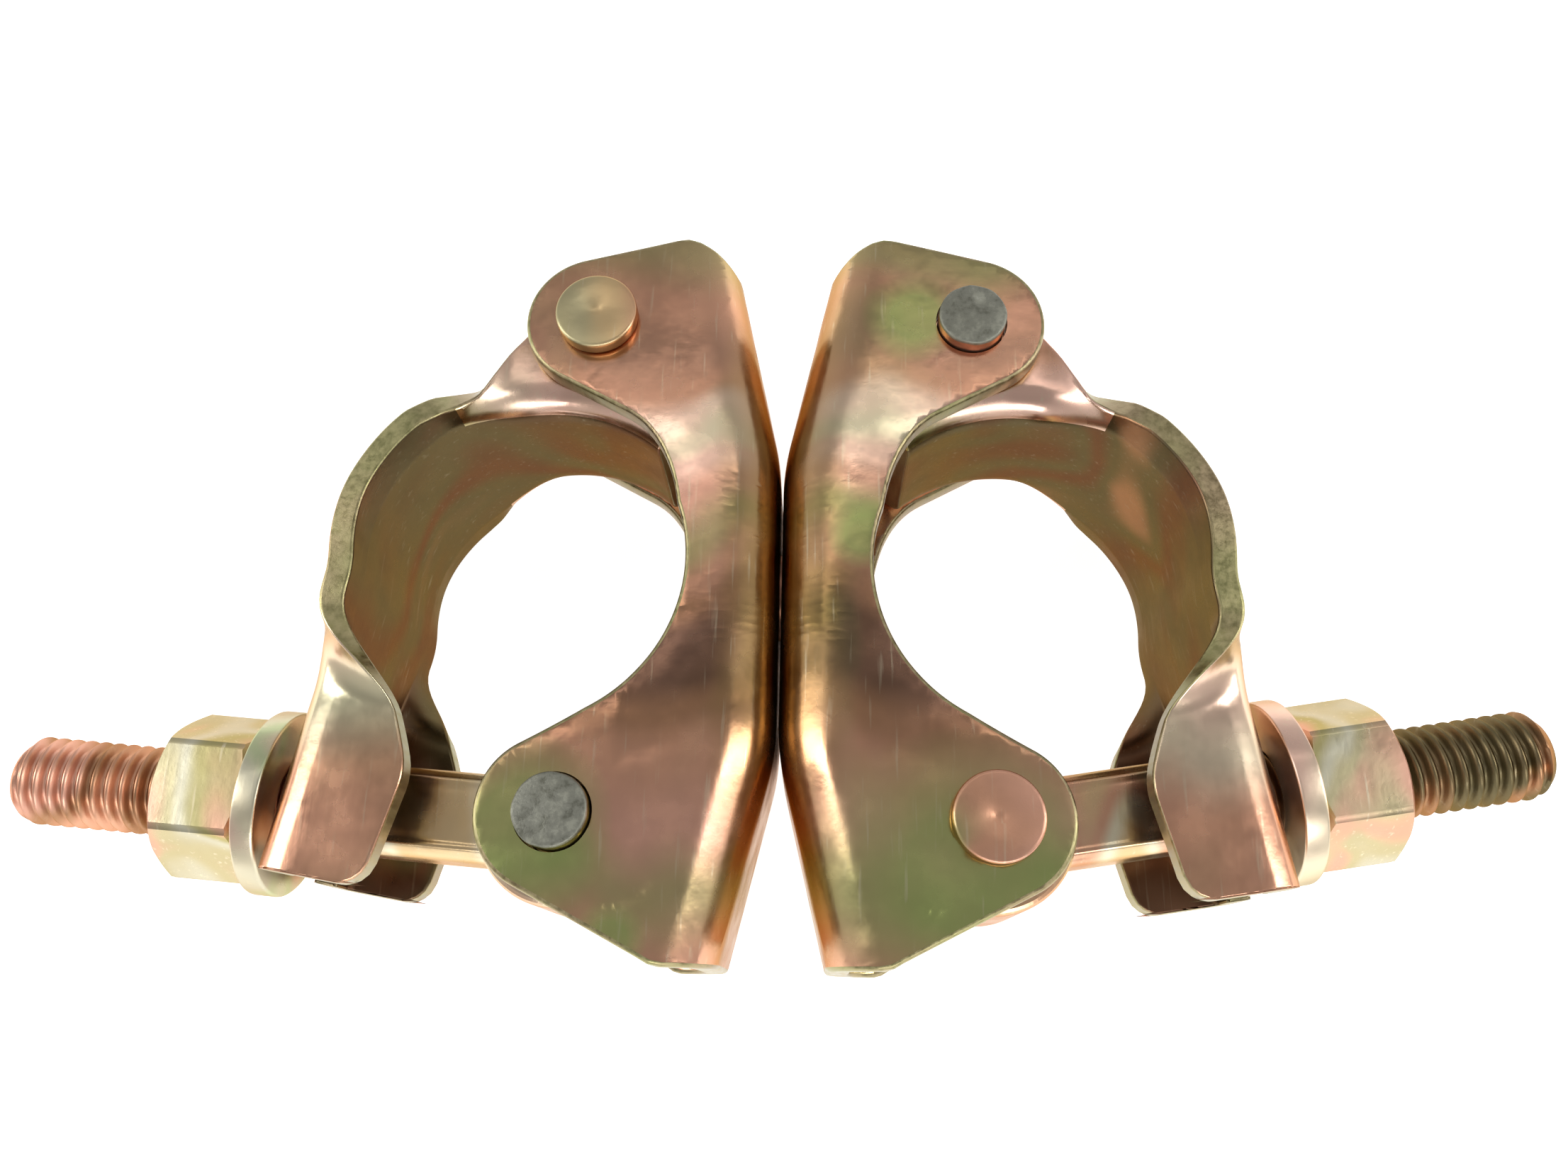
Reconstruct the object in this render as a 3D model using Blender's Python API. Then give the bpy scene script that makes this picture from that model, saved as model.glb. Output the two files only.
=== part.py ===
"""Pressed-steel swivel coupler for 48.6 mm scaffold tube.

Two identical half couplers stand back to back on a central swivel rivet.  A half is drawn once
in its own coordinates: u runs away from the seam between the halves, v runs up towards the
hinge rivet, and w runs along the tube.  The part lies on its side, so u, v, w of half b are
world X, Y, Z.  Half a is half b turned 180 degrees about Y.
"""
import math

import bmesh
import bpy
from mathutils import Matrix, Vector

MM = 0.001
CLEARANCE = 0.3 * MM               # gap kept between pieces that touch on the real coupler

# Layout of a half
TUBE_U, TUBE_V = 37.5 * MM, 1.2 * MM
HINGE_U, HINGE_V = 27.7 * MM, 38.8 * MM
BOLT_U, BOLT_V = 28.8 * MM, -34.2 * MM

# Body: a U-channel pressed from sheet
BODY_SHEET = 3.4 * MM
BODY_WIDTH = 35.6 * MM
BODY_BEND = 9.0 * MM               # outer radius between web and cheek
WEB_TOP = 49.9 * MM
WEB_FLAT_TOP, WEB_FLAT_BOTTOM = 18.2 * MM, -24.4 * MM
WEB_LEAN_TOP, WEB_LEAN_BOTTOM = 0.215, 0.24
WEB_KNEE = 4.0 * MM                # half length of the gentle bend before the leaning ends
SEAM_GAP = CLEARANCE / 2
HINGE_EAR, BOLT_EAR = 10.8 * MM, 10.5 * MM
SEAT_RADIUS = 24.4 * MM
BODY_TOP_CORNER = (14.2 * MM, 53.2 * MM)
BODY_BOTTOM_CORNER = (14.5 * MM, -53.2 * MM)
EAR_FOOT = (22.8 * MM, 23.9 * MM)  # where the hinge ear's lower edge turns down to the seat
SEAT_CORNER = (16.2 * MM, 20.4 * MM)

# Cap: a strip with flanges folded out at the hinge and in at the bolt fork
CAP_SHEET = 3.6 * MM
CAP_CENTRE = (34.2 * MM, 1.7 * MM) # closed with no tube inside, the cap goes a little too far in
CAP_RADIUS = 24.3 * MM
CAP_START, CAP_END = math.radians(130), math.radians(-2)
CAP_TURN_RADIUS = 20.0 * MM        # where the strip leaves the tube towards the fork
FORK_LEAN = math.radians(9.5)
FORK_LENGTH = 39.2 * MM
CORNER = 3.5 * MM                  # rounding of the fork's free corners
CAP_FOLD = 2.9 * MM                # fold radius at mid thickness
CAP_EAR = 9.0 * MM
HEEL_LIP = 1.2 * MM                # what is left of the hinge flange at the strip's end
HINGE_HALF = 14.05 * MM            # outer faces of the hinge flanges
FORK_HALF = 15.6 * MM              # outer faces of the fork flanges
RIM_FLAT, RIM_FLARE, RIM_LIP = 15.25 * MM, math.radians(9), 4.9 * MM
SLOT_HALF = 7.3 * MM
SLOT_TOP = 17.0 * MM               # below the start of the fork's straight web

# The flared rims of the caps are the lowest points, so they set the height of the middle
CENTRE_HEIGHT = (RIM_FLAT + RIM_LIP * math.cos(RIM_FLARE)
                 + (CAP_FOLD + CAP_SHEET / 2) * math.sin(RIM_FLARE))

# Hinge and bolt rivets
PIN_RADIUS = 4.95 * MM
PIN_HEAD_RADIUS, PIN_HEAD = 6.0 * MM, 2.4 * MM
PIN_TAIL = 2.2 * MM                # peened end standing proud of the cheek

# Swing bolt, washer and nut
EYE_RADIUS, EYE_HALF = 11.7 * MM, 11.5 * MM
NECK_HALF = 6.2 * MM
NECK_END = 32.0 * MM
THREAD_RADIUS = 6.35 * MM
BOLT_LENGTH = 81.0 * MM            # pin axis to tip
BOLT_REST = {"a": math.radians(4.3), "b": math.radians(9.4)}
WASHER_FACE = 41.2 * MM            # pin axis to the washer's inner face
WASHER_RADIUS, WASHER_THICK = 13.2 * MM, 3.4 * MM
BORE = THREAD_RADIUS + CLEARANCE
NUT_FLATS, NUT_LENGTH = 21.0 * MM, 12.7 * MM
NUT_CHAMFER_RADIUS = 10.3 * MM

# Swivel rivet between the webs
SWIVEL_SHANK, SWIVEL_HEAD_RADIUS, SWIVEL_HEAD = 6.5 * MM, 9.4 * MM, 4.0 * MM
SWIVEL_WASHER_RADIUS, SWIVEL_WASHER = 9.8 * MM, 1.6 * MM

ROUND = 36                         # sides of a round piece
SHARP_ANGLE = math.radians(28)
SLOT_FADE = 14 * MM                # rows this far from the slot's end are pulled towards it

# Preview looks: colour, roughness, metallic
BODY_LOOK = ((0.55, 0.42, 0.25), 0.35, 1.0)
CAP_LOOK = ((0.6, 0.4, 0.3), 0.32, 1.0)
RIVET_LOOK = ((0.5, 0.48, 0.45), 0.45, 1.0)
SWIVEL_LOOK = ((0.5, 0.45, 0.35), 0.4, 1.0)
BOLT_LOOK = ((0.6, 0.5, 0.25), 0.35, 1.0)
WASHER_LOOK = ((0.6, 0.45, 0.35), 0.3, 1.0)
NUT_LOOK = ((0.65, 0.55, 0.3), 0.3, 1.0)


# ------------------------------------------------------------------ helpers
def clear_scene():
    for item in list(bpy.data.objects):
        bpy.data.objects.remove(item)


def finish_part(name, mesh, look, place):
    """Give a mesh its own material and stand it at its place."""
    colour, roughness, metallic = look
    made = bpy.data.materials.new(name + "_material")
    made.use_nodes = True
    shader = made.node_tree.nodes["Principled BSDF"]
    shader.inputs["Base Color"].default_value = (*colour, 1.0)
    shader.inputs["Roughness"].default_value = roughness
    shader.inputs["Metallic"].default_value = metallic
    mesh.materials.append(made)
    mesh.shade_smooth()
    mesh.set_sharp_from_angle(angle=SHARP_ANGLE)
    item = bpy.data.objects.new(name, mesh)
    item.matrix_world = place
    bpy.context.collection.objects.link(item)
    return item


def mesh_from(bm, name):
    bmesh.ops.recalc_face_normals(bm, faces=bm.faces)
    mesh = bpy.data.meshes.new(name)
    bm.to_mesh(mesh)
    bm.free()
    return mesh


def arc(centre, radius, start, end, steps):
    """Points on an arc given in degrees, both ends included."""
    turns = [math.radians(start + (end - start) * i / steps) for i in range(steps + 1)]
    return [(centre[0] + radius * math.cos(t), centre[1] + radius * math.sin(t)) for t in turns]


def bow(start, corner, end, steps):
    """A rounded corner, without its two end points."""
    points = []
    for i in range(1, steps):
        t = i / steps
        weights = ((1 - t) ** 2, 2 * t * (1 - t), t * t)
        points.append(tuple(sum(w * p[k] for w, p in zip(weights, (start, corner, end)))
                            for k in (0, 1)))
    return points


def ease(x, low, high):
    t = min(1.0, max(0.0, (x - low) / (high - low)))
    return t * t * (3 - 2 * t)


def through(x, points):
    """Smooth curve through a few (x, y) points."""
    if x <= points[0][0]:
        return points[0][1]
    for k in range(len(points) - 1):
        (x0, y0), (x1, y1) = points[k], points[k + 1]
        if x <= x1:
            before, after = points[max(k - 1, 0)], points[min(k + 2, len(points) - 1)]
            m0 = (y1 - before[1]) / (x1 - before[0]) * (x1 - x0)
            m1 = (after[1] - y0) / (after[0] - x0) * (x1 - x0)
            t = (x - x0) / (x1 - x0)
            return ((2 * t ** 3 - 3 * t * t + 1) * y0 + (t ** 3 - 2 * t * t + t) * m0
                    + (3 * t * t - 2 * t ** 3) * y1 + (t ** 3 - t * t) * m1)
    return points[-1][1]


def skin(loops, closed):
    """Join point loops of equal length; closed joins the last loop to the first."""
    bm = bmesh.new()
    rings = [[bm.verts.new(p) for p in loop] for loop in loops]
    count = len(rings[0])
    pairs = list(zip(rings, rings[1:])) + ([(rings[-1], rings[0])] if closed else [])
    for low, high in pairs:
        for i in range(count):
            j = (i + 1) % count
            bm.faces.new((low[i], low[j], high[j], high[i]))
    if not closed:
        bm.faces.new(rings[0])
        bm.faces.new(rings[-1])
    return bm


def turned(profile, sides=ROUND, closed=False):
    """Turn (radius, height) points about the local Z axis."""
    loops = []
    for radius, height in profile:
        turns = [2 * math.pi * i / sides for i in range(sides)]
        loops.append([Vector((radius * math.cos(t), radius * math.sin(t), height)) for t in turns])
    return skin(loops, closed)


# ------------------------------------------------------------------ placing a half
def half_place(side):
    """Matrix from (u, v, w) of a half to the world."""
    lift = Matrix.Translation((0, 0, CENTRE_HEIGHT))
    return lift if side == "b" else lift @ Matrix.Rotation(math.pi, 4, "Y")


def bolt_place(side, distance):
    spin = Matrix.Rotation(BOLT_REST[side], 4, "Z")
    return (half_place(side) @ Matrix.Translation((BOLT_U, BOLT_V, 0)) @ spin
            @ Matrix.Translation((distance, 0, 0)))


# ------------------------------------------------------------------ body
WEB_HALF = BODY_WIDTH / 2 - BODY_BEND
BODY_MID_BEND = BODY_BEND - BODY_SHEET / 2
CHEEK_START = WEB_HALF + BODY_MID_BEND * math.pi / 2


def ramp(x):
    """Zero below the knee, then a straight slope of one."""
    if x < -WEB_KNEE:
        return 0.0
    return x if x > WEB_KNEE else (x + WEB_KNEE) ** 2 / (4 * WEB_KNEE)


def web_face(v):
    """u of the web's outer face at height v."""
    return (SEAM_GAP + WEB_LEAN_TOP * ramp(v - WEB_FLAT_TOP)
            + WEB_LEAN_BOTTOM * ramp(WEB_FLAT_BOTTOM - v))


def unrolled(point):
    """Distance across the flat blank, from its middle, of a cheek point (u, v)."""
    u, v = point
    past = u - web_face(v) - BODY_BEND
    if past >= 0:
        return CHEEK_START + past, v
    return WEB_HALF + BODY_MID_BEND * math.acos(min(1.0, -past / BODY_BEND)), v


def bend_body(s, v, depth):
    """Fold a point of the flat blank into the channel."""
    side, across = (1 if s >= 0 else -1), abs(s)
    face = web_face(v)
    if across <= WEB_HALF:
        return Vector((face + depth, v, s))
    if across >= CHEEK_START:
        return Vector((face + BODY_BEND + across - CHEEK_START, v,
                       side * (BODY_WIDTH / 2 - depth)))
    turn = (across - WEB_HALF) / BODY_MID_BEND
    radius = BODY_BEND - depth
    return Vector((face + BODY_BEND - radius * math.cos(turn), v,
                   side * (WEB_HALF + radius * math.sin(turn))))


def cheek_outline():
    """Edge of one cheek from the top of the web round to the bottom of the web, in (u, v)."""
    hinge, bolt, tube = (HINGE_U, HINGE_V), (BOLT_U, BOLT_V), (TUBE_U, TUBE_V)
    corner_x, corner_y = BODY_TOP_CORNER
    start = web_face(WEB_TOP)
    points = [(start + 0.6 * MM, WEB_TOP + 0.3 * MM), (start + 2.4 * MM, WEB_TOP + 1.6 * MM),
              (start + 4.6 * MM, WEB_TOP + 2.7 * MM), (corner_x - 1.2 * MM, corner_y - 0.15 * MM),
              (corner_x + 0.6 * MM, corner_y), (corner_x + 2.4 * MM, corner_y - 0.35 * MM)]
    points += arc(hinge, HINGE_EAR, 74, -61, 14)
    points.append(EAR_FOOT)
    points += bow(EAR_FOOT, SEAT_CORNER, (14.57 * MM, 9.55 * MM), 6)
    points += arc(tube, SEAT_RADIUS, 160, 241.3, 13)
    points += arc(bolt, BOLT_EAR, 62.5, -63, 12)
    corner_x, corner_y = BODY_BOTTOM_CORNER
    points += [(corner_x + 2.2 * MM, corner_y + 1.0 * MM),
               (corner_x + 0.9 * MM, corner_y + 0.3 * MM),
               (corner_x - 0.8 * MM, corner_y), (corner_x - 3.0 * MM, corner_y),
               (web_face(corner_y) + 2.0 * MM, corner_y), (web_face(corner_y) + 0.5 * MM, corner_y)]
    return points


def body_holes():
    """Rivet holes as loops on the flat blank."""
    loops = []
    for centre in ((HINGE_U, HINGE_V), (BOLT_U, BOLT_V)):
        ring = [unrolled(p) for p in arc(centre, PIN_RADIUS + CLEARANCE, 0, 360, 24)[:-1]]
        loops += [ring, [(-s, v) for s, v in ring]]
    loops.append(arc((0, TUBE_V), SWIVEL_SHANK + CLEARANCE, 0, 360, 28)[:-1])
    return loops


def blank(outline, holes, thickness):
    """A flat plate with holes, lying at depth 0 to thickness."""
    bm = bmesh.new()
    for depth in (0.0, thickness):
        edges = []
        for loop in [outline] + holes:
            ring = [bm.verts.new((s, v, depth)) for s, v in loop]
            edges += [bm.edges.new((ring[i - 1], ring[i])) for i in range(len(ring))]
        bmesh.ops.triangle_fill(bm, edges=edges, use_beauty=True)
    bm.verts.ensure_lookup_table()
    low = 0
    layer = len(outline) + sum(len(loop) for loop in holes)
    for loop in [outline] + holes:
        count = len(loop)
        for i in range(count):
            a, b = low + i, low + (i + 1) % count
            bm.faces.new([bm.verts[k] for k in (a, b, b + layer, a + layer)])
        low += count
    return bm


def cut_along(bm, axis, places):
    normal = Vector((1, 0, 0)) if axis == 0 else Vector((0, 1, 0))
    for place in places:
        everything = bm.verts[:] + bm.edges[:] + bm.faces[:]
        bmesh.ops.bisect_plane(bm, geom=everything, dist=1e-7, plane_co=normal * place,
                               plane_no=normal)


def make_body(side):
    half = [unrolled(p) for p in cheek_outline()]
    outline = half + [(-s, v) for s, v in reversed(half)]
    bm = blank(outline, body_holes(), BODY_SHEET)
    folds = [WEB_HALF + (CHEEK_START - WEB_HALF) * i / 6 for i in range(7)]
    cut_along(bm, 0, folds + [-s for s in folds])
    knees = [WEB_FLAT_TOP + WEB_KNEE * k for k in (-1, 0, 1)]
    cut_along(bm, 1, knees + [WEB_FLAT_BOTTOM + WEB_KNEE * k for k in (-1, 0, 1)])
    for vert in bm.verts:
        s, v, depth = vert.co
        vert.co = bend_body(s, v, depth) - Vector((0, TUBE_V, 0))
    bmesh.ops.dissolve_degenerate(bm, dist=1e-7, edges=bm.edges)
    place = half_place(side) @ Matrix.Translation((0, TUBE_V, 0))
    finish_part("body_" + side, mesh_from(bm, "body"), BODY_LOOK, place)


# ------------------------------------------------------------------ cap
CAP_MID = CAP_RADIUS + CAP_SHEET / 2
ARC_LENGTH = CAP_MID * (CAP_START - CAP_END)
TURN_LENGTH = CAP_TURN_RADIUS * (FORK_LEAN - CAP_END)
FORK_START = ARC_LENGTH + TURN_LENGTH


def cap_path(along):
    """Middle of the strip: point and outward direction, at a length along it."""
    lean = max(CAP_START - along / CAP_MID, CAP_END)
    out = Vector((math.cos(lean), math.sin(lean)))
    point = Vector(CAP_CENTRE) + out * CAP_MID
    if along <= ARC_LENGTH:
        return point, out
    centre = point + out * CAP_TURN_RADIUS
    lean = min(CAP_END + (along - ARC_LENGTH) / CAP_TURN_RADIUS, FORK_LEAN)
    out = Vector((math.cos(lean), math.sin(lean)))
    point = centre - out * CAP_TURN_RADIUS
    past = max(0.0, along - FORK_START)
    return point + Vector((out.y, -out.x)) * past, out


def ear_lip(angle):
    """Straight part of a hinge flange: the round ear about the hinge pin, then the heel."""
    away = Vector((HINGE_U, HINGE_V)) - Vector(CAP_CENTRE)
    middle = math.atan2(away.y, away.x)
    side = middle + math.asin(CAP_EAR / away.length)
    off = min(angle, side) - middle
    across = away.length * math.sin(off)
    reach = math.sqrt(max(0.0, CAP_EAR ** 2 - across ** 2))
    lip = away.length * math.cos(off) + reach - CAP_MID - CAP_FOLD
    heel = max(0.0, angle - side) / (CAP_START - side)
    return lip + (HEEL_LIP - lip) * heel


def cap_section(along):
    """Half width of the flat middle, signed fold angle, and straight lip at a length."""
    fork = along - FORK_START
    angle = math.degrees(CAP_START - along / CAP_MID)
    if fork < -16 * MM:
        open_out = 1 - ease(angle, 50, 84)
        flat = HINGE_HALF - CAP_SHEET / 2 - CAP_FOLD
        flat += (RIM_FLAT - flat) * open_out
        fold = math.radians(90) + (RIM_FLARE - math.radians(90)) * open_out
        line = ((-89.1, 13.5), (-83.4, 8.6), (-78.5, 5.6), (-73.8, 3.2), (-67.5, 1.5),
                (-62.0, 1.9), (-58.0, 2.7), (-54.0, 3.8), (-46.0, RIM_LIP / MM))
        lip = ear_lip(math.radians(angle)) if angle > 89.1 else through(-angle, line) * MM
        return flat, fold, lip
    turn_in = ease(fork, 2 * MM, 16 * MM)
    flat = FORK_HALF - CAP_SHEET / 2 - CAP_FOLD
    flat = RIM_FLAT + (flat - RIM_FLAT) * ease(fork, 0, 15 * MM)
    fold = RIM_FLARE * (1 - ease(fork, -15 * MM, 1 * MM)) - math.radians(90) * turn_in
    line = ((-12, RIM_LIP / MM), (2, 4.9), (6.3, 5.1), (11, 6.3), (15, 8.3), (19, 10.4),
            (22, 11.7), (24.5, 12.1), (27, 11.9), (39.2, 10.7))
    lip = through(fork / MM, line) * MM
    near_end = max(0.0, CORNER - (FORK_LENGTH - fork))
    rounding = CORNER - math.sqrt(max(0.0, CORNER ** 2 - near_end ** 2))
    return flat, fold, lip - rounding


def cap_columns(flat, fold, lip):
    """Distances across the strip on one side: flat middle, bend, then the lip's edge."""
    bend = CAP_FOLD * abs(fold)
    return ([0.0, SLOT_HALF / 2, SLOT_HALF, flat]
            + [flat + bend * k / 4 for k in (1, 2, 3, 4)] + [flat + bend + lip])


def fold_cap(along, across, depth, section):
    """Place a point of the strip; depth is measured outward from mid thickness."""
    point, out = cap_path(along)
    flat, fold, _lip = section
    side, past = (1 if across >= 0 else -1), max(0.0, abs(across) - flat)
    turn = min(past / CAP_FOLD, abs(fold))
    lean = math.copysign(turn, fold)
    wide = min(abs(across), flat) + CAP_FOLD * math.sin(turn)
    rise = math.copysign(CAP_FOLD * (1 - math.cos(turn)), fold)
    straight = max(0.0, past - CAP_FOLD * abs(fold))
    wide += straight * math.cos(lean) - depth * math.sin(lean)
    rise += straight * math.sin(lean) + depth * math.cos(lean)
    spot = point + out * rise
    return Vector((spot.x - HINGE_U, spot.y - HINGE_V, side * wide))


def cap_rows():
    heel = (0, 5.5, 11, 16.3, 17.5, 19.5, 22.2, 25.8, 30, 35, 40.5)
    hinge = [CAP_MID * math.radians(d) for d in heel]
    hinge += [CAP_MID * math.radians(40.5 + 5.2 * k) for k in range(1, 16)]
    rest = [FORK_START + d * MM for d in (-6, -2, 1, 3, 5, 7, 9, 11, 13, 15.5, 19)]
    slot = [FORK_START + SLOT_TOP + SLOT_HALF]
    end = [FORK_START + d * MM for d in (27, 31, 34.5, 36.2, 37.6, 38.6, 39.2)]
    return hinge + rest + slot + end, len(hinge) + len(rest)


def slot_shift(row_along, across):
    """Pull the rows up over the rounded end of the slot."""
    if abs(across) >= SLOT_HALF:
        return 0.0
    near = row_along - FORK_START - SLOT_TOP - SLOT_HALF
    fade = 1 - ease(abs(near), 0, SLOT_FADE)
    return math.sqrt(SLOT_HALF ** 2 - across ** 2) * fade


def make_cap(side):
    rows, slot_row = cap_rows()
    bm = bmesh.new()
    grid = {}
    for i, along in enumerate(rows):
        right = cap_columns(*cap_section(along))
        columns = [-c for c in reversed(right[1:])] + right
        for j, across in enumerate(columns):
            at = along - slot_shift(along, across)
            for k, depth in enumerate((-CAP_SHEET / 2, CAP_SHEET / 2)):
                grid[i, j, k] = bm.verts.new(fold_cap(at, across, depth, cap_section(at)
                                                      if abs(across) < SLOT_HALF
                                                      else cap_section(along)))
    last, middle = len(columns) - 1, len(right) - 1

    def solid(i, j):
        inside = 0 <= i < len(rows) - 1 and 0 <= j < last
        return inside and not (i >= slot_row and abs(j + 0.5 - middle) < 2)

    for i in range(len(rows) - 1):
        for j in range(last):
            if not solid(i, j):
                continue
            for k in (0, 1):
                bm.faces.new([grid[i + a, j + b, k] for a, b in ((0, 0), (0, 1), (1, 1), (1, 0))])
            for near, (p, q) in (((i - 1, j), ((0, 0), (0, 1))), ((i + 1, j), ((1, 0), (1, 1))),
                                 ((i, j - 1), ((0, 0), (1, 0))), ((i, j + 1), ((0, 1), (1, 1)))):
                if not solid(*near):
                    bm.faces.new([grid[i + p[0], j + p[1], 0], grid[i + q[0], j + q[1], 0],
                                  grid[i + q[0], j + q[1], 1], grid[i + p[0], j + p[1], 1]])
    for vert in [v for v in bm.verts if not v.link_faces]:
        bm.verts.remove(vert)
    place = half_place(side) @ Matrix.Translation((HINGE_U, HINGE_V, 0))
    cap = finish_part("cap_" + side, mesh_from(bm, "cap"), CAP_LOOK, place)
    drill(cap, "cap_hole_" + side, PIN_RADIUS + CLEARANCE, 30 * MM)


def drill(item, name, radius, half_length):
    """Subtract a cylinder along the item's local Z, through its origin."""
    mesh = mesh_from(turned([(radius, -half_length), (radius, half_length)], 28), name)
    cutter = bpy.data.objects.new(name, mesh)
    cutter.matrix_world = item.matrix_world.copy()
    cutter.hide_render = True
    cutter.display_type = "WIRE"
    bpy.context.collection.objects.link(cutter)
    cut = item.modifiers.new("hole", "BOOLEAN")
    cut.operation = "DIFFERENCE"
    cut.solver = "EXACT"
    cut.object = cutter


# ------------------------------------------------------------------ rivets
def make_pin(name, side, centre, head_up):
    """Rivet along w with its head on one face of the body and a peened end on the other."""
    face = BODY_WIDTH / 2 + CLEARANCE
    head_end, tail_end = face + PIN_HEAD, BODY_WIDTH / 2 + PIN_TAIL
    profile = [(PIN_HEAD_RADIUS - 0.7 * MM, -head_end), (PIN_HEAD_RADIUS, -head_end + 0.7 * MM),
               (PIN_HEAD_RADIUS, -face), (PIN_RADIUS, -face), (PIN_RADIUS, tail_end - 0.8 * MM),
               (PIN_RADIUS - 0.8 * MM, tail_end)]
    flip = Matrix.Rotation(math.pi if head_up else 0.0, 4, "X")
    place = half_place(side) @ Matrix.Translation((*centre, 0)) @ flip
    finish_part(name, mesh_from(turned(profile), name), ((0.5, 0.48, 0.45), 0.45, 1.0), place)


def make_swivel():
    """Rivet through both webs, with a loose washer under each head."""
    web_inner = SEAM_GAP + BODY_SHEET
    head = web_inner + 2 * CLEARANCE + SWIVEL_WASHER
    rim, top = SWIVEL_HEAD_RADIUS, head + SWIVEL_HEAD
    profile = [(rim * 0.62, -top), (rim * 0.9, -top + 1.2 * MM), (rim, -head - 0.8 * MM),
               (rim, -head), (SWIVEL_SHANK, -head), (SWIVEL_SHANK, head), (rim, head),
               (rim, head + 0.8 * MM), (rim * 0.9, top - 1.2 * MM), (rim * 0.62, top)]
    along_x = Matrix.Rotation(math.radians(90), 4, "Y")
    centre = Matrix.Translation((0, TUBE_V, CENTRE_HEIGHT))
    finish_part("swivel_rivet", mesh_from(turned(profile), "swivel_rivet"),
                SWIVEL_LOOK, centre @ along_x)
    inner = SWIVEL_SHANK + CLEARANCE
    low, high = web_inner + CLEARANCE, web_inner + CLEARANCE + SWIVEL_WASHER
    ring = [(inner, low), (SWIVEL_WASHER_RADIUS, low), (SWIVEL_WASHER_RADIUS, high), (inner, high)]
    for side, turn in (("a", -90), ("b", 90)):
        place = centre @ Matrix.Rotation(math.radians(turn), 4, "Y")
        finish_part("swivel_washer_" + side, mesh_from(turned(ring, ROUND, True), "washer"),
                    SWIVEL_LOOK, place)


# ------------------------------------------------------------------ bolt, washer and nut
def bolt_loop(x, half_y, half_z, power, sides=ROUND):
    """Rounded section of the bolt; power 2 is a circle, more is squarer."""
    loop = []
    for i in range(sides):
        turn = 2 * math.pi * i / sides
        c, s = math.cos(turn), math.sin(turn)
        loop.append(Vector((x, half_y * math.copysign(abs(c) ** (2 / power), c),
                            half_z * math.copysign(abs(s) ** (2 / power), s))))
    return loop


def make_bolt(side):
    r, tip = THREAD_RADIUS, BOLT_LENGTH
    loops = [bolt_loop(7.2 * MM, r, NECK_HALF, 5), bolt_loop(NECK_END - 5 * MM, r, NECK_HALF, 5),
             bolt_loop(NECK_END, r, r * 0.985, 2.6), bolt_loop(NECK_END + 1.5 * MM, r, r, 2),
             bolt_loop(tip - 1.3 * MM, r, r, 2), bolt_loop(tip, r - 1.3 * MM, r - 1.3 * MM, 2)]
    rim = EYE_RADIUS
    eye = turned([(rim - 1.2 * MM, -EYE_HALF), (rim, -EYE_HALF + 1.2 * MM),
                  (rim, EYE_HALF - 1.2 * MM), (rim - 1.2 * MM, EYE_HALF)], 44)
    name = "swing_bolt_" + side
    place = bolt_place(side, 0.0)
    bolt = finish_part(name, mesh_from(skin(loops, False), name), BOLT_LOOK, place)
    ring = bpy.data.objects.new("eye_" + side, mesh_from(eye, "eye"))
    ring.matrix_world = place
    ring.hide_render = True
    ring.display_type = "WIRE"
    bpy.context.collection.objects.link(ring)
    join = bolt.modifiers.new("eye", "BOOLEAN")
    join.operation = "UNION"
    join.solver = "EXACT"
    join.object = ring
    drill(bolt, "eye_hole_" + side, PIN_RADIUS + CLEARANCE, 20 * MM)


def make_washer(side):
    rim, edge = WASHER_RADIUS, 0.5 * MM
    profile = [(BORE, 0), (rim - edge, 0), (rim, edge), (rim, WASHER_THICK - edge),
               (rim - edge, WASHER_THICK), (BORE, WASHER_THICK)]
    bm = turned(profile, ROUND, True)
    bmesh.ops.rotate(bm, matrix=Matrix.Rotation(math.radians(90), 3, "Y"), verts=bm.verts)
    finish_part("washer_" + side, mesh_from(bm, "washer"), WASHER_LOOK,
                bolt_place(side, WASHER_FACE))


def make_nut(side):
    sides, flat = 48, NUT_FLATS / 2
    turns = [2 * math.pi * i / sides for i in range(sides)]
    hexagon = [flat / math.cos((t + math.pi / 6) % (math.pi / 3) - math.pi / 6) for t in turns]
    cut = [min(r, NUT_CHAMFER_RADIUS) for r in hexagon]
    drop = [max(0.0, (r - NUT_CHAMFER_RADIUS) * 0.577) + 0.15 * MM for r in hexagon]
    bore = [BORE] * sides
    rows = ((bore, [0.0] * sides, 0.0), (cut, [0.0] * sides, 0.0), (hexagon, drop, 0.0),
            (hexagon, [-d for d in drop], NUT_LENGTH), (cut, [0.0] * sides, NUT_LENGTH),
            (bore, [0.0] * sides, NUT_LENGTH))
    loops = [[Vector((base + d, r * math.sin(t), r * math.cos(t)))
              for r, d, t in zip(radii, drops, turns)] for radii, drops, base in rows]
    finish_part("nut_" + side, mesh_from(skin(loops, True), "nut"), NUT_LOOK,
                bolt_place(side, WASHER_FACE + WASHER_THICK + CLEARANCE))


def main():
    clear_scene()
    for side in ("a", "b"):
        make_body(side)
        make_cap(side)
        make_pin("hinge_rivet_" + side, side, (HINGE_U, HINGE_V), False)
        make_pin("bolt_rivet_" + side, side, (BOLT_U, BOLT_V), True)
        make_bolt(side)
        make_washer(side)
        make_nut(side)
    make_swivel()


main()
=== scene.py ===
"""Looks of the pressed-steel swivel coupler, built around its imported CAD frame.

A half coupler is drawn in its own coordinates, as in the CAD: u away from the seam between the
halves, v up towards the hinge rivet, w along the tube.  Every detailed piece has the shape of
the CAD node it replaces, with rounded edges, press marks and a rolled thread added.
"""
import math

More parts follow.
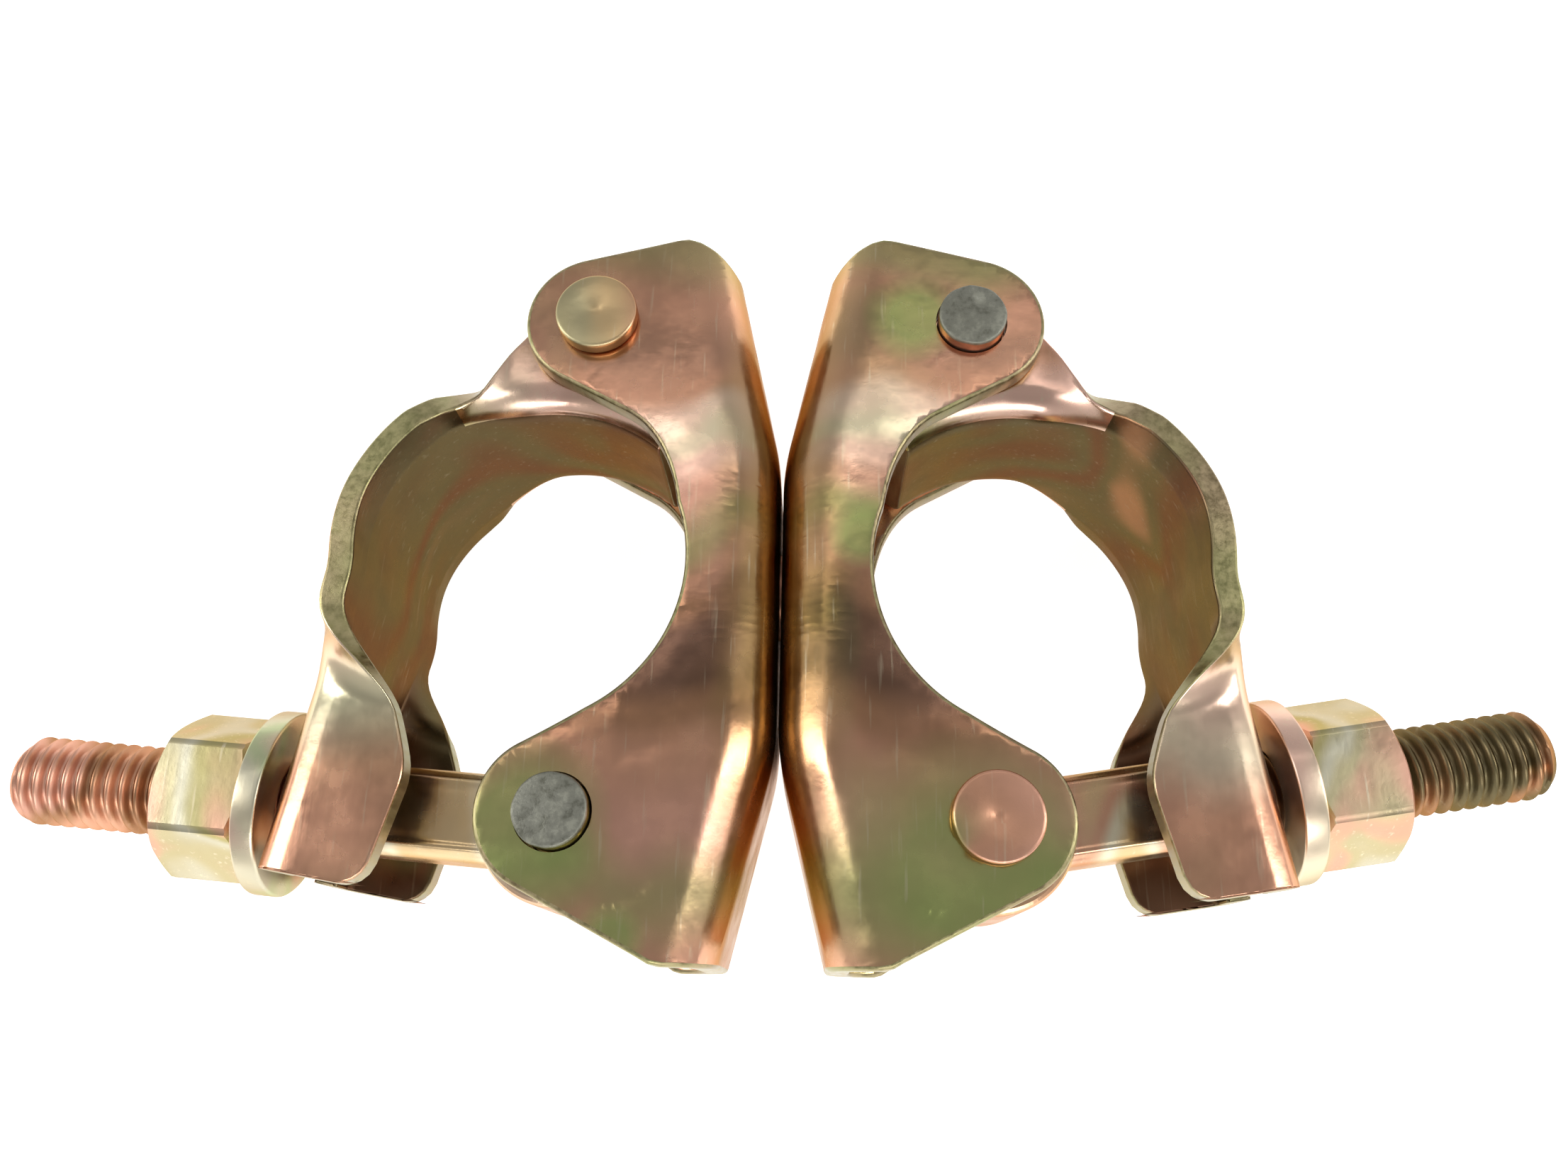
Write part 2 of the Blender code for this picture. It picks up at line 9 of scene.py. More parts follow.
import bmesh
import bpy
from mathutils import Matrix, Vector, noise

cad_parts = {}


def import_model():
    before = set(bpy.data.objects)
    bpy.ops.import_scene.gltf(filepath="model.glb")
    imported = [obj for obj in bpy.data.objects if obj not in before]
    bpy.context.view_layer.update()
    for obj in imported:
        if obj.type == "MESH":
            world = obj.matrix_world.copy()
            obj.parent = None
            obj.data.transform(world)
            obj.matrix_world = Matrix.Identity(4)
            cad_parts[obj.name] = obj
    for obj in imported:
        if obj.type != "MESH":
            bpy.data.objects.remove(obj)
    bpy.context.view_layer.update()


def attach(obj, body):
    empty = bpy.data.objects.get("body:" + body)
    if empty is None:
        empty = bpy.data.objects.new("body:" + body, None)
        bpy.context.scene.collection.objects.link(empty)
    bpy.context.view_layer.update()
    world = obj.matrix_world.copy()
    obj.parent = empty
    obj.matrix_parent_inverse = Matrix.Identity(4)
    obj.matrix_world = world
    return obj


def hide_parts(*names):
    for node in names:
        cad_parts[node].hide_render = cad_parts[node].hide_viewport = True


MM = 0.001

# Layout of a half (as in the CAD)
TUBE_U, TUBE_V = 37.5 * MM, 1.2 * MM
HINGE_U, HINGE_V = 27.7 * MM, 38.8 * MM
BOLT_U, BOLT_V = 28.8 * MM, -34.2 * MM
SEAM_GAP = 0.15 * MM
CLEARANCE = 0.3 * MM

# Body
BODY_SHEET, BODY_WIDTH, BODY_BEND = 3.4 * MM, 35.6 * MM, 9.0 * MM
WEB_TOP = 49.9 * MM
WEB_FLAT_TOP, WEB_FLAT_BOTTOM = 18.2 * MM, -24.4 * MM
WEB_LEAN_TOP, WEB_LEAN_BOTTOM = 0.215, 0.24
WEB_KNEE = 4.0 * MM
HINGE_EAR, BOLT_EAR = 10.8 * MM, 10.5 * MM
SEAT_RADIUS = 24.4 * MM
BODY_TOP_CORNER, BODY_BOTTOM_CORNER = (14.2 * MM, 53.2 * MM), (14.5 * MM, -53.2 * MM)
EAR_FOOT, SEAT_CORNER = (22.8 * MM, 23.9 * MM), (16.2 * MM, 20.4 * MM)
EDGE_ROUND = 0.55 * MM
GRID_STEP = 1.3 * MM

# Cap
CAP_SHEET = 3.6 * MM
CAP_CENTRE = (34.2 * MM, 1.7 * MM)
CAP_RADIUS = 24.3 * MM
CAP_START, CAP_END = math.radians(130), math.radians(-2)
CAP_TURN_RADIUS = 20.0 * MM
FORK_LEAN = math.radians(9.5)
FORK_LENGTH = 39.2 * MM
CORNER = 3.5 * MM                  # rounding of the fork's free corners
SLOT_FADE = 14 * MM                # rows this far from the slot's end are pulled towards it
CAP_FOLD = 2.9 * MM
CAP_EAR = 9.0 * MM
HEEL_LIP = 1.2 * MM
HINGE_HALF, FORK_HALF = 14.05 * MM, 15.6 * MM
RIM_FLAT, RIM_FLARE, RIM_LIP = 15.25 * MM, math.radians(9), 4.9 * MM
SLOT_HALF, SLOT_TOP = 7.3 * MM, 17.0 * MM

# The flared rims of the caps are the lowest points, so they set the height of the middle
CENTRE_HEIGHT = (RIM_FLAT + RIM_LIP * math.cos(RIM_FLARE)
                 + (CAP_FOLD + CAP_SHEET / 2) * math.sin(RIM_FLARE))

# Rivets, bolt, washer and nut
PIN_RADIUS, PIN_HEAD_RADIUS, PIN_HEAD, PIN_TAIL = 4.95 * MM, 6.0 * MM, 2.4 * MM, 2.2 * MM
EYE_RADIUS, EYE_HALF, NECK_HALF, NECK_END = 11.7 * MM, 11.5 * MM, 6.2 * MM, 32.0 * MM
THREAD_RADIUS, THREAD_DEPTH, THREAD_PITCH = 6.35 * MM, 1.15 * MM, 25.4 / 12 * MM
BOLT_LENGTH = 81.0 * MM
BOLT_REST = {"a": math.radians(4.3), "b": math.radians(9.4)}
WASHER_FACE, WASHER_RADIUS, WASHER_THICK = 41.2 * MM, 13.2 * MM, 3.4 * MM
BORE = THREAD_RADIUS + CLEARANCE
NUT_FLATS, NUT_LENGTH, NUT_CHAMFER_RADIUS = 21.0 * MM, 12.7 * MM, 10.3 * MM

# Swivel rivet
SWIVEL_SHANK, SWIVEL_HEAD_RADIUS, SWIVEL_HEAD = 6.5 * MM, 9.4 * MM, 4.0 * MM
SWIVEL_WASHER_RADIUS, SWIVEL_WASHER = 9.8 * MM, 1.6 * MM

# Camera: close above the coupler, tilted towards its bolts
CAMERA_PLACE = Vector((5.4, -57.9, 198.4)) * MM
CAMERA_TURNS = (-18.9, -1.66, -1.2)     # about X, Y and Z, degrees
CAMERA_LENS, SENSOR = 28.24, 36.0

# Interference colours of the yellow chromate film; SHADE, DARK_BRONZE and DARK_OLIVE are also laid
# in as painted shade, and PALE_GOLD and PALE_PINK as painted highlights
COPPER, ROSE, PINK = (0.62, 0.33, 0.21), (0.68, 0.37, 0.27), (0.78, 0.52, 0.42)
GOLD, PALE_GOLD = (0.66, 0.47, 0.25), (0.72, 0.64, 0.46)
GREEN, OLIVE, BRONZE = (0.36, 0.45, 0.15), (0.42, 0.37, 0.17), (0.36, 0.19, 0.10)
DARK_BRONZE, DARK_OLIVE = (0.16, 0.085, 0.05), (0.14, 0.115, 0.06)
SHADE = (0.085, 0.05, 0.03)
TAN = (0.46, 0.26, 0.17)
# dark gold along the webs: partly the film's gold, partly painted shade of the bends
SEAM_GOLD_SHADE = (0.40, 0.25, 0.09)
DULL_GOLD = (0.50, 0.44, 0.26)
PALE_PINK = (0.86, 0.64, 0.50)
SILVER, PALE_GREEN = (0.56, 0.53, 0.40), (0.50, 0.55, 0.33)
STEEL, DARK_STEEL = (0.34, 0.34, 0.28), (0.14, 0.14, 0.11)

BAND_REACH = 75 * MM                # half height that the colour bands are spread over
BAND_SHARE = 0.82                   # how far the placed bands cover the drifting colours
DRIFT_STRETCH = (1.0, 0.55, 1.0)

# Fineness of the meshes
ROUND = 96
BOLT_SIDES = 72
FILLET_STEPS = 4


# ---------------------------------------------------------------- small helpers
def arc(centre, radius, start, end, steps):
    turns = [math.radians(start + (end - start) * i / steps) for i in range(steps + 1)]
    return [(centre[0] + radius * math.cos(t), centre[1] + radius * math.sin(t)) for t in turns]


def bow(start, corner, end, steps):
    """A rounded corner, without its two end points."""
    points = []
    for i in range(1, steps):
        t = i / steps
        weights = ((1 - t) ** 2, 2 * t * (1 - t), t * t)
        points.append(tuple(sum(w * p[k] for w, p in zip(weights, (start, corner, end)))
                            for k in (0, 1)))
    return points


def ease(x, low, high):
    t = min(1.0, max(0.0, (x - low) / (high - low)))
    return t * t * (3 - 2 * t)


def through(x, points):
    """Smooth curve through a few (x, y) points."""
    if x <= points[0][0]:
        return points[0][1]
    for k in range(len(points) - 1):
        (x0, y0), (x1, y1) = points[k], points[k + 1]
        if x <= x1:
            before, after = points[max(k - 1, 0)], points[min(k + 2, len(points) - 1)]
            m0 = (y1 - before[1]) / (x1 - before[0]) * (x1 - x0)
            m1 = (after[1] - y0) / (after[0] - x0) * (x1 - x0)
            t = (x - x0) / (x1 - x0)
            return ((2 * t ** 3 - 3 * t * t + 1) * y0 + (t ** 3 - 2 * t * t + t) * m0
                    + (3 * t * t - 2 * t ** 3) * y1 + (t ** 3 - t * t) * m1)
    return points[-1][1]


def skin(loops, closed):
    """Join point loops of equal length; closed joins the last loop to the first."""
    bm = bmesh.new()
    rings = [[bm.verts.new(p) for p in loop] for loop in loops]
    count = len(rings[0])
    pairs = list(zip(rings, rings[1:])) + ([(rings[-1], rings[0])] if closed else [])
    for low, high in pairs:
        for i in range(count):
            j = (i + 1) % count
            bm.faces.new((low[i], low[j], high[j], high[i]))
    if not closed:
        bm.faces.new(rings[0])
        bm.faces.new(rings[-1])
    return bm


def turned(profile, sides=ROUND, closed=False):
    """Turn (radius, height) points about the local Z axis."""
    loops = []
    for radius, height in profile:
        turns = [2 * math.pi * i / sides for i in range(sides)]
        loops.append([Vector((radius * math.cos(t), radius * math.sin(t), height)) for t in turns])
    return skin(loops, closed)


def round_corner(corner, before, after, radius):
    """Points of a small fillet at a profile corner."""
    a = Vector(corner) + (Vector(before) - Vector(corner)).normalized() * radius
    b = Vector(corner) + (Vector(after) - Vector(corner)).normalized() * radius
    return [tuple(a)] + bow(a, corner, b, FILLET_STEPS) + [tuple(b)]


def soften(profile, radius, closed=False):
    """Fillet the corners of a (radius, height) profile; an open one keeps its two ends."""
    count, points = len(profile), []
    for i, corner in enumerate(profile):
        if not closed and i in (0, count - 1):
            points.append(corner)
            continue
        points += round_corner(corner, profile[i - 1], profile[(i + 1) % count], radius)
    return points


def half_place(side):
    lift = Matrix.Translation((0, 0, CENTRE_HEIGHT))
    return lift if side == "b" else lift @ Matrix.Rotation(math.pi, 4, "Y")


def bolt_place(side, distance):
    spin = Matrix.Rotation(BOLT_REST[side], 4, "Z")
    return (half_place(side) @ Matrix.Translation((BOLT_U, BOLT_V, 0)) @ spin
            @ Matrix.Translation((distance, 0, 0)))


def add_piece(name, bm, place, looks, body, node, smooth=32):
    """Make a detailed piece that rides on a body and stands for a CAD node."""
    bmesh.ops.recalc_face_normals(bm, faces=bm.faces)
    bm.transform(place)
    mesh = bpy.data.meshes.new(name)
    bm.to_mesh(mesh)
    bm.free()
    for look in looks:
        mesh.materials.append(look)
    mesh.shade_smooth()
    mesh.set_sharp_from_angle(angle=math.radians(smooth))
    piece = bpy.data.objects.new(name, mesh)
    bpy.context.collection.objects.link(piece)
    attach(piece, body)
    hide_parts(node)
    return piece


def apply_modifiers(piece):
    """Keep the evaluated mesh and drop the modifiers."""
    graph = bpy.context.evaluated_depsgraph_get()
    mesh = bpy.data.meshes.new_from_object(piece.evaluated_get(graph))
    piece.modifiers.clear()
    piece.data = mesh


def cut_with(piece, bm, place, operation):
    """Boolean with a helper solid, which is then removed."""
    bmesh.ops.recalc_face_normals(bm, faces=bm.faces)
    mesh = bpy.data.meshes.new("helper")
    bm.to_mesh(mesh)
    bm.free()
    for look in piece.data.materials:
        mesh.materials.append(look)
    mesh.transform(place)
    helper = bpy.data.objects.new("helper", mesh)
    bpy.context.collection.objects.link(helper)
    cut = piece.modifiers.new("cut", "BOOLEAN")
    cut.operation = operation
    cut.solver = "EXACT"
    cut.object = helper
    apply_modifiers(piece)
    bpy.data.objects.remove(helper)


# ---------------------------------------------------------------- materials
class Nodes:
    """Short calls for building a node tree."""

    def __init__(self, name):
        self.material = bpy.data.materials.new(name)
        self.material.use_nodes = True
        self.tree = self.material.node_tree
        self.shader = self.tree.nodes["Principled BSDF"]
        self.place = self.add("ShaderNodeTexCoord").outputs["Object"]

    def add(self, kind, **settings):
        node = self.tree.nodes.new(kind)
        for key, value in settings.items():
            setattr(node, key, value)
        return node

    def link(self, source, target):
        self.tree.links.new(source, target)

    def mapped(self, scale, shift=(0, 0, 0), turn=(0, 0, 0)):
        node = self.add("ShaderNodeMapping")
        node.inputs["Scale"].default_value = scale
        node.inputs["Location"].default_value = shift
        node.inputs["Rotation"].default_value = turn
        self.link(self.place, node.inputs["Vector"])
        return node.outputs["Vector"]

    def noise(self, vector, scale, detail=3.0, rough=0.5, distort=0.0):
        node = self.add("ShaderNodeTexNoise")
        self.link(vector, node.inputs["Vector"])
        node.inputs["Scale"].default_value = scale
        node.inputs["Detail"].default_value = detail
        node.inputs["Roughness"].default_value = rough
        node.inputs["Distortion"].default_value = distort
        return node.outputs["Fac"]

    def ramp(self, value, stops):
        node = self.add("ShaderNodeValToRGB")
        node.color_ramp.interpolation = "EASE"
        elements = node.color_ramp.elements
        while len(elements) < len(stops):
            elements.new(0.5)
        for element, (at, colour) in zip(elements, stops):
            element.position = at
            element.color = (*colour, 1.0) if len(colour) == 3 else colour
        self.link(value, node.inputs["Fac"])
        return node.outputs["Color"]

    def grey(self, value, low, high, at=(0.35, 0.65)):
        """Map a value to a plain number between low and high."""
        node = self.add("ShaderNodeMapRange")
        node.inputs["From Min"].default_value, node.inputs["From Max"].default_value = at
        node.inputs["To Min"].default_value, node.inputs["To Max"].default_value = low, high
        self.link(value, node.inputs["Value"])
        return node.outputs["Result"]

    def mix(self, factor, first, second):
        node = self.add("ShaderNodeMix", data_type="RGBA")
        for value, slot in ((factor, 0), (first, 6), (second, 7)):
            if isinstance(value, (tuple, float)):
                value = (*value, 1.0) if isinstance(value, tuple) else value
                node.inputs[slot].default_value = value
            else:
                self.link(value, node.inputs[slot])
        return node.outputs[2]

    def bump(self, height, strength, distance, below=None):
        node = self.add("ShaderNodeBump")
        node.inputs["Strength"].default_value = strength
        node.inputs["Distance"].default_value = distance
        self.link(height, node.inputs["Height"])
        if below:
            self.link(below, node.inputs["Normal"])
        return node.outputs["Normal"]


FILM_TINT = (0.70, 0.54, 0.40, 1.0)  # glancing reflections stay coloured by the film


def plating(name, stops, shift, size=42.0, rough=(0.15, 0.3), grain=0.12, scratch=0.4,
            bands=None, patches=(), seam=False):
    """Yellow-passivated zinc: drifting interference colours, satin sheen, fine draw marks."""
    n = Nodes(name)
    n.shader.inputs["Metallic"].default_value = 1.0
    n.shader.inputs["Specular Tint"].default_value = FILM_TINT
    wide = n.noise(n.mapped(DRIFT_STRETCH, shift), size, 1.5, 0.4, 0.5)
    film = n.ramp(wide, stops)
    # bands by height: on the cheeks and caps they carry painted shade and painted highlights as well
    # as film colours
    if bands:
        film = n.mix(BAND_SHARE, film, banded(n, wide, bands))
    # dark gold along the webs: partly film colour, partly painted shade of the bends
    if seam:
        film = n.mix(seam_gold_and_shade(n, wide), film, SEAM_GOLD_SHADE)
    for patch in patches:
        film = n.mix(patched(n, wide, patch), film, GREEN)
    blotch = n.noise(n.mapped((1, 1, 1), (shift[1], shift[0], 0.3)), size * 3, 2.0, 0.5)
    film = n.mix(n.grey(blotch, 0.0, 0.10), film, stops[len(stops) // 2][1])
    fine = n.noise(n.mapped((1, 1, 1)), 900.0, 3.0, 0.6)
    lines = n.noise(n.mapped((1.0, 0.06, 1.0), shift, (0, 0, 0.25)), 1400.0, 2.0, 0.5)
    worn = n.grey(lines, 0.0, scratch, (0.62, 0.78))
    n.link(n.mix(worn, film, PALE_GOLD), n.shader.inputs["Base Color"])
    sheen = n.noise(n.mapped((1, 1, 1), (0.2, 0.1, 0.4)), 130.0, 4.0, 0.55)
    n.link(n.grey(sheen, *rough), n.shader.inputs["Roughness"])
    soft = n.bump(n.noise(n.mapped((1, 1, 1)), 170.0, 2.0), 0.25, 0.25 * MM)
    marks = n.bump(lines, 0.12, 0.06 * MM, soft)
    n.link(n.bump(fine, grain, 0.08 * MM, marks), n.shader.inputs["Normal"])
    return n.material


def banded(n, drift, bands):
    """Colour bands across the height of a half, pushed about by the drifting noise; besides film
    colours they hold painted shade and painted highlights.
    """
    split = n.add("ShaderNodeSeparateXYZ")
    n.link(n.place, split.inputs[0])
    height = n.grey(split.outputs["Y"], 0.0, 1.0, (-BAND_REACH, BAND_REACH))
    push = n.add("ShaderNodeMath", operation="MULTIPLY_ADD")
    n.link(drift, push.inputs[0])
    push.inputs[1].default_value = 0.16
    n.link(height, push.inputs[2])
    stops = [((v * MM / BAND_REACH + 1) / 2 + 0.08, colour) for v, colour in bands]
    return n.ramp(push.outputs[0], stops)


def patched(n, drift, patch):
    """One at a spot (x, y) of the plan view, fading to zero at its drifting edge."""
    x, y, radius = patch
    flat = n.add("ShaderNodeVectorMath", operation="MULTIPLY")
    n.link(n.place, flat.inputs[0])
    flat.inputs[1].default_value = (1.0, 1.0, 0.0)
    away = n.add("ShaderNodeVectorMath", operation="DISTANCE")
    n.link(flat.outputs[0], away.inputs[0])
    away.inputs[1].default_value = (x * MM, y * MM, 0.0)
    push = n.add("ShaderNodeMath", operation="MULTIPLY_ADD")
    n.link(drift, push.inputs[0])
    push.inputs[1].default_value = radius * MM
    n.link(away.outputs["Value"], push.inputs[2])
    return n.grey(push.outputs[0], 0.8, 0.0, (radius * 1.05 * MM, radius * 1.75 * MM))


def seam_gold_and_shade(n, drift):
    """One along the webs, fading to zero past the bends into the cheeks: the mask of the dark seam
    gold, partly film colour and partly painted shade.
    """
    split = n.add("ShaderNodeSeparateXYZ")
    n.link(n.place, split.inputs[0])
    off = n.add("ShaderNodeMath", operation="ABSOLUTE")
    n.link(split.outputs["X"], off.inputs[0])
    push = n.add("ShaderNodeMath", operation="MULTIPLY_ADD")
    n.link(drift, push.inputs[0])
    push.inputs[1].default_value = 6 * MM
    n.link(off.outputs[0], push.inputs[2])
    return n.grey(push.outputs[0], 0.85, 0.0, (4.5 * MM, 12.0 * MM))


def sheared(name, light, dark):
    """Cut edge of the sheet: bright land with drag marks across the thickness."""
    n = Nodes(name)
    n.shader.inputs["Metallic"].default_value = 1.0
    drag = n.noise(n.mapped((1.0, 1.0, 0.2)), 900.0, 4.0, 0.65)
    broad = n.noise(n.mapped((1, 1, 1)), 90.0, 3.0)
    base = n.mix(n.grey(drag, 0.0, 1.0), dark, light)
    n.link(n.mix(n.grey(broad, 0.0, 0.3), base, GREEN), n.shader.inputs["Base Color"])
    n.link(n.grey(drag, 0.28, 0.5), n.shader.inputs["Roughness"])
    n.link(n.bump(drag, 0.35, 0.15 * MM), n.shader.inputs["Normal"])
    return n.material


def peened():
    """Bare hammered end of a rivet: dull dark grey with lighter worn spots."""
    n = Nodes("peened_end")
    n.shader.inputs["Metallic"].default_value = 0.85
    spots = n.noise(n.mapped((1, 1, 1)), 520.0, 5.0, 0.65)
    ring = n.noise(n.mapped((1, 1, 1), (0.5, 0, 0)), 160.0, 3.0)
    base = n.ramp(spots, ((0.32, DARK_STEEL), (0.48, (0.24, 0.24, 0.20)), (0.62, STEEL),
                          (0.75, (0.42, 0.42, 0.36))))
    n.link(n.mix(n.grey(ring, 0.0, 0.4), base, (0.19, 0.19, 0.15)),
           n.shader.inputs["Base Color"])
    n.link(n.grey(spots, 0.42, 0.62), n.shader.inputs["Roughness"])
    n.link(n.bump(spots, 0.45, 0.35 * MM), n.shader.inputs["Normal"])
    return n.material


def make_looks():
    copper = ((0.30, GREEN), (0.38, OLIVE), (0.46, COPPER), (0.55, ROSE), (0.64, COPPER),
              (0.74, OLIVE))
    # cheek bands by height: film colours, with painted shade in the dark band from v -21 to -4 and a
    # painted highlight in the pale band from v 15 to 22
    cheek = ((-52, COPPER), (-43, OLIVE), (-36, ROSE), (-27, COPPER), (-21, BRONZE),
             (-16, SHADE), (-9, SHADE), (-4, BRONZE), (1, COPPER), (6, OLIVE), (11, ROSE),
             (15, PINK), (18, PALE_GOLD), (22, PALE_PINK), (27, COPPER), (33, TAN), (42, COPPER),
             (53, OLIVE))
    # cap bands by height: film colours, with a painted highlight in the pale band from v -24 to -17
    flap = ((-46, COPPER), (-31, COPPER), (-24, PALE_GOLD), (-17, PALE_PINK), (-11, OLIVE),
            (0, COPPER), (18, OLIVE), (24, PALE_PINK), (31, PINK), (38, ROSE), (44, PINK))
    greens = {"a": ((-33.0, -36.0, 10.0), (-16.0, 3.0, 3.5), (-20.0, -50.0, 4.0)),
              "b": ((24.0, -41.0, 16.0), (20.0, 40.0, 6.0), (12.0, 5.0, 4.0))}
    # dark copy of the plating for the insides of the caps: painted shade
    inner = ((0.34, DARK_BRONZE), (0.46, DARK_OLIVE), (0.54, DARK_BRONZE), (0.62, DARK_OLIVE),
             (0.70, BRONZE))
    bright = ((0.34, PINK), (0.44, PALE_GOLD), (0.54, SILVER), (0.62, PALE_GREEN), (0.70, PINK))
    bolt = ((0.32, COPPER), (0.44, GOLD), (0.52, PALE_GOLD), (0.60, COPPER), (0.68, GOLD))
    warm = ((0.34, COPPER), (0.46, BRONZE), (0.54, ROSE), (0.64, COPPER))
    dull = ((0.34, DARK_BRONZE), (0.46, DARK_OLIVE), (0.54, BRONZE), (0.64, DARK_OLIVE))
    nut = ((0.34, ROSE), (0.44, DULL_GOLD), (0.54, SILVER), (0.62, OLIVE), (0.70, ROSE))
    brass = ((0.34, COPPER), (0.46, GOLD), (0.54, DULL_GOLD), (0.64, OLIVE))
    looks = {"edge": sheared("cut_edge", (0.42, 0.33, 0.20), (0.26, 0.20, 0.11)),
             "peened": peened()}
    for side, shift in (("a", (0.0, 0.0, 0.0)), ("b", (0.31, 0.17, 0.05))):
        looks["body_" + side] = plating("plating_body_" + side, copper, shift, bands=cheek,
                                        patches=greens[side], seam=True)
        looks["inner_" + side] = plating("plating_shaded_inside_" + side, inner, shift, 36.0, (0.26, 0.4),
                                         scratch=0.12)
        looks["cap_" + side] = plating("plating_cap_" + side, copper, (0.12, *shift[1:]), 38.0,
                                       bands=flap)
        looks["pin_" + side] = plating("plating_rivet_" + side, brass if side == "a" else copper,
                                       shift, 60.0, (0.28, 0.42), 0.3)
        looks["bolt_" + side] = plating("plating_bolt_" + side, bolt, shift, 55.0, (0.2, 0.32))
        looks["thread_" + side] = plating("plating_thread_" + side, warm if side == "a" else dull,
                                          shift, 55.0, (0.3, 0.45), scratch=0.1)
        looks["nut_" + side] = plating("plating_nut_" + side, nut, shift, 60.0, (0.24, 0.4),
                                       0.25, 0.8)
        looks["washer_" + side] = plating("plating_washer_" + side, bright, (0.4, *shift[1:]),
                                          50.0, (0.26, 0.4), 0.25)
    return looks


# ---------------------------------------------------------------- body
WEB_HALF = BODY_WIDTH / 2 - BODY_BEND
BODY_MID_BEND = BODY_BEND - BODY_SHEET / 2
CHEEK_START = WEB_HALF + BODY_MID_BEND * math.pi / 2


def ramp_up(x):
    """Zero below the knee, then a straight slope of one."""
    if x < -WEB_KNEE:
        return 0.0
    return x if x > WEB_KNEE else (x + WEB_KNEE) ** 2 / (4 * WEB_KNEE)


def web_face(v):
    return (SEAM_GAP + WEB_LEAN_TOP * ramp_up(v - WEB_FLAT_TOP)
            + WEB_LEAN_BOTTOM * ramp_up(WEB_FLAT_BOTTOM - v))


def unrolled(point):
    """Distance across the flat blank, from its middle, of a cheek point (u, v)."""
    u, v = point
    past = u - web_face(v) - BODY_BEND
    if past >= 0:
        return CHEEK_START + past, v
    return WEB_HALF + BODY_MID_BEND * math.acos(min(1.0, -past / BODY_BEND)), v


def bend_body(s, v, depth):
    """Fold a point of the flat blank into the channel."""
    side, across = (1 if s >= 0 else -1), abs(s)
    face = web_face(v)
    if across <= WEB_HALF:
        return Vector((face + depth, v, s))
    if across >= CHEEK_START:
        return Vector((face + BODY_BEND + across - CHEEK_START, v,
                       side * (BODY_WIDTH / 2 - depth)))
    turn = (across - WEB_HALF) / BODY_MID_BEND
    radius = BODY_BEND - depth
    return Vector((face + BODY_BEND - radius * math.cos(turn), v,
                   side * (WEB_HALF + radius * math.sin(turn))))


def cheek_outline():
    """Edge of one cheek from the top of the web round to the bottom of the web, in (u, v)."""
    hinge, bolt, tube = (HINGE_U, HINGE_V), (BOLT_U, BOLT_V), (TUBE_U, TUBE_V)
    x, y = BODY_TOP_CORNER
    start = web_face(WEB_TOP)
    points = [(start + 0.6 * MM, WEB_TOP + 0.3 * MM), (start + 1.4 * MM, WEB_TOP + 0.9 * MM),
              (start + 2.4 * MM, WEB_TOP + 1.6 * MM), (start + 3.5 * MM, WEB_TOP + 2.25 * MM),
              (start + 4.6 * MM, WEB_TOP + 2.7 * MM), (x - 1.2 * MM, y - 0.15 * MM),
              (x + 0.6 * MM, y), (x + 2.4 * MM, y - 0.35 * MM)]
    points += arc(hinge, HINGE_EAR, 74, -61, 40)
    points.append(EAR_FOOT)
    points += bow(EAR_FOOT, SEAT_CORNER, (14.57 * MM, 9.55 * MM), 14)
    points += arc(tube, SEAT_RADIUS, 160, 241.3, 40)
    points += arc(bolt, BOLT_EAR, 62.5, -63, 36)
    x, y = BODY_BOTTOM_CORNER
    points += [(x + 2.2 * MM, y + 1.0 * MM), (x + 0.9 * MM, y + 0.3 * MM), (x - 0.8 * MM, y),
               (x - 3.0 * MM, y), (web_face(y) + 3.4 * MM, y), (web_face(y) + 2.0 * MM, y),
               (web_face(y) + 0.5 * MM, y)]
    return points


def inset(loop, amount):
    """Move a counter-clockwise or clockwise outline inward by a small amount."""
    count = len(loop)
    area = sum(loop[i - 1][0] * loop[i][1] - loop[i][0] * loop[i - 1][1] for i in range(count))
    sign = 1 if area > 0 else -1
    moved = []
    for i in range(count):
        before = (Vector(loop[i]) - Vector(loop[i - 1])).normalized()
        after = (Vector(loop[(i + 1) % count]) - Vector(loop[i])).normalized()
        inward = Vector((-before.y - after.y, before.x + after.x)) * sign
        if inward.length < 1e-6:
            inward = Vector((-before.y, before.x)) * sign
        inward.normalize()
        lean = max(0.5, inward.dot(Vector((-before.y, before.x)) * sign))
        moved.append(tuple(Vector(loop[i]) + inward * (amount / lean)))
    return moved


def rounded_blank(outline, holes, thickness, edge):
    """A flat plate with holes and a rounded outer edge, lying at depth 0 to thickness."""
    bm = bmesh.new()
    levels = []
    for turn in (0, 30, 60, 90):
        t = math.radians(turn)
        levels.append((edge * (1 - math.cos(t)), edge * (1 - math.sin(t))))
    levels += [(thickness - depth, pull) for depth, pull in reversed(levels)]
    rings = [[bm.verts.new((*p, depth)) for p in (inset(outline, pull) if pull else outline)]
             for depth, pull in levels]
    walls = [rings]
    for hole in holes:
        walls.append([[bm.verts.new((*p, depth)) for p in hole] for depth in (0, thickness)])
    for wall in walls:
        for low, high in zip(wall, wall[1:]):
            for i in range(len(low)):
                bm.faces.new((low[i - 1], low[i], high[i], high[i - 1])).material_index = 1
    for end in (0, -1):
        edges = []
        for wall in walls:
            ring = wall[end]
            edges += [bm.edges.get((ring[i - 1], ring[i])) for i in range(len(ring))]
        filled = bmesh.ops.triangle_fill(bm, edges=edges, use_beauty=True)
        for face in filled["geom"]:
            if isinstance(face, bmesh.types.BMFace):
                face.material_index = 0 if end == 0 else 2
    return bm


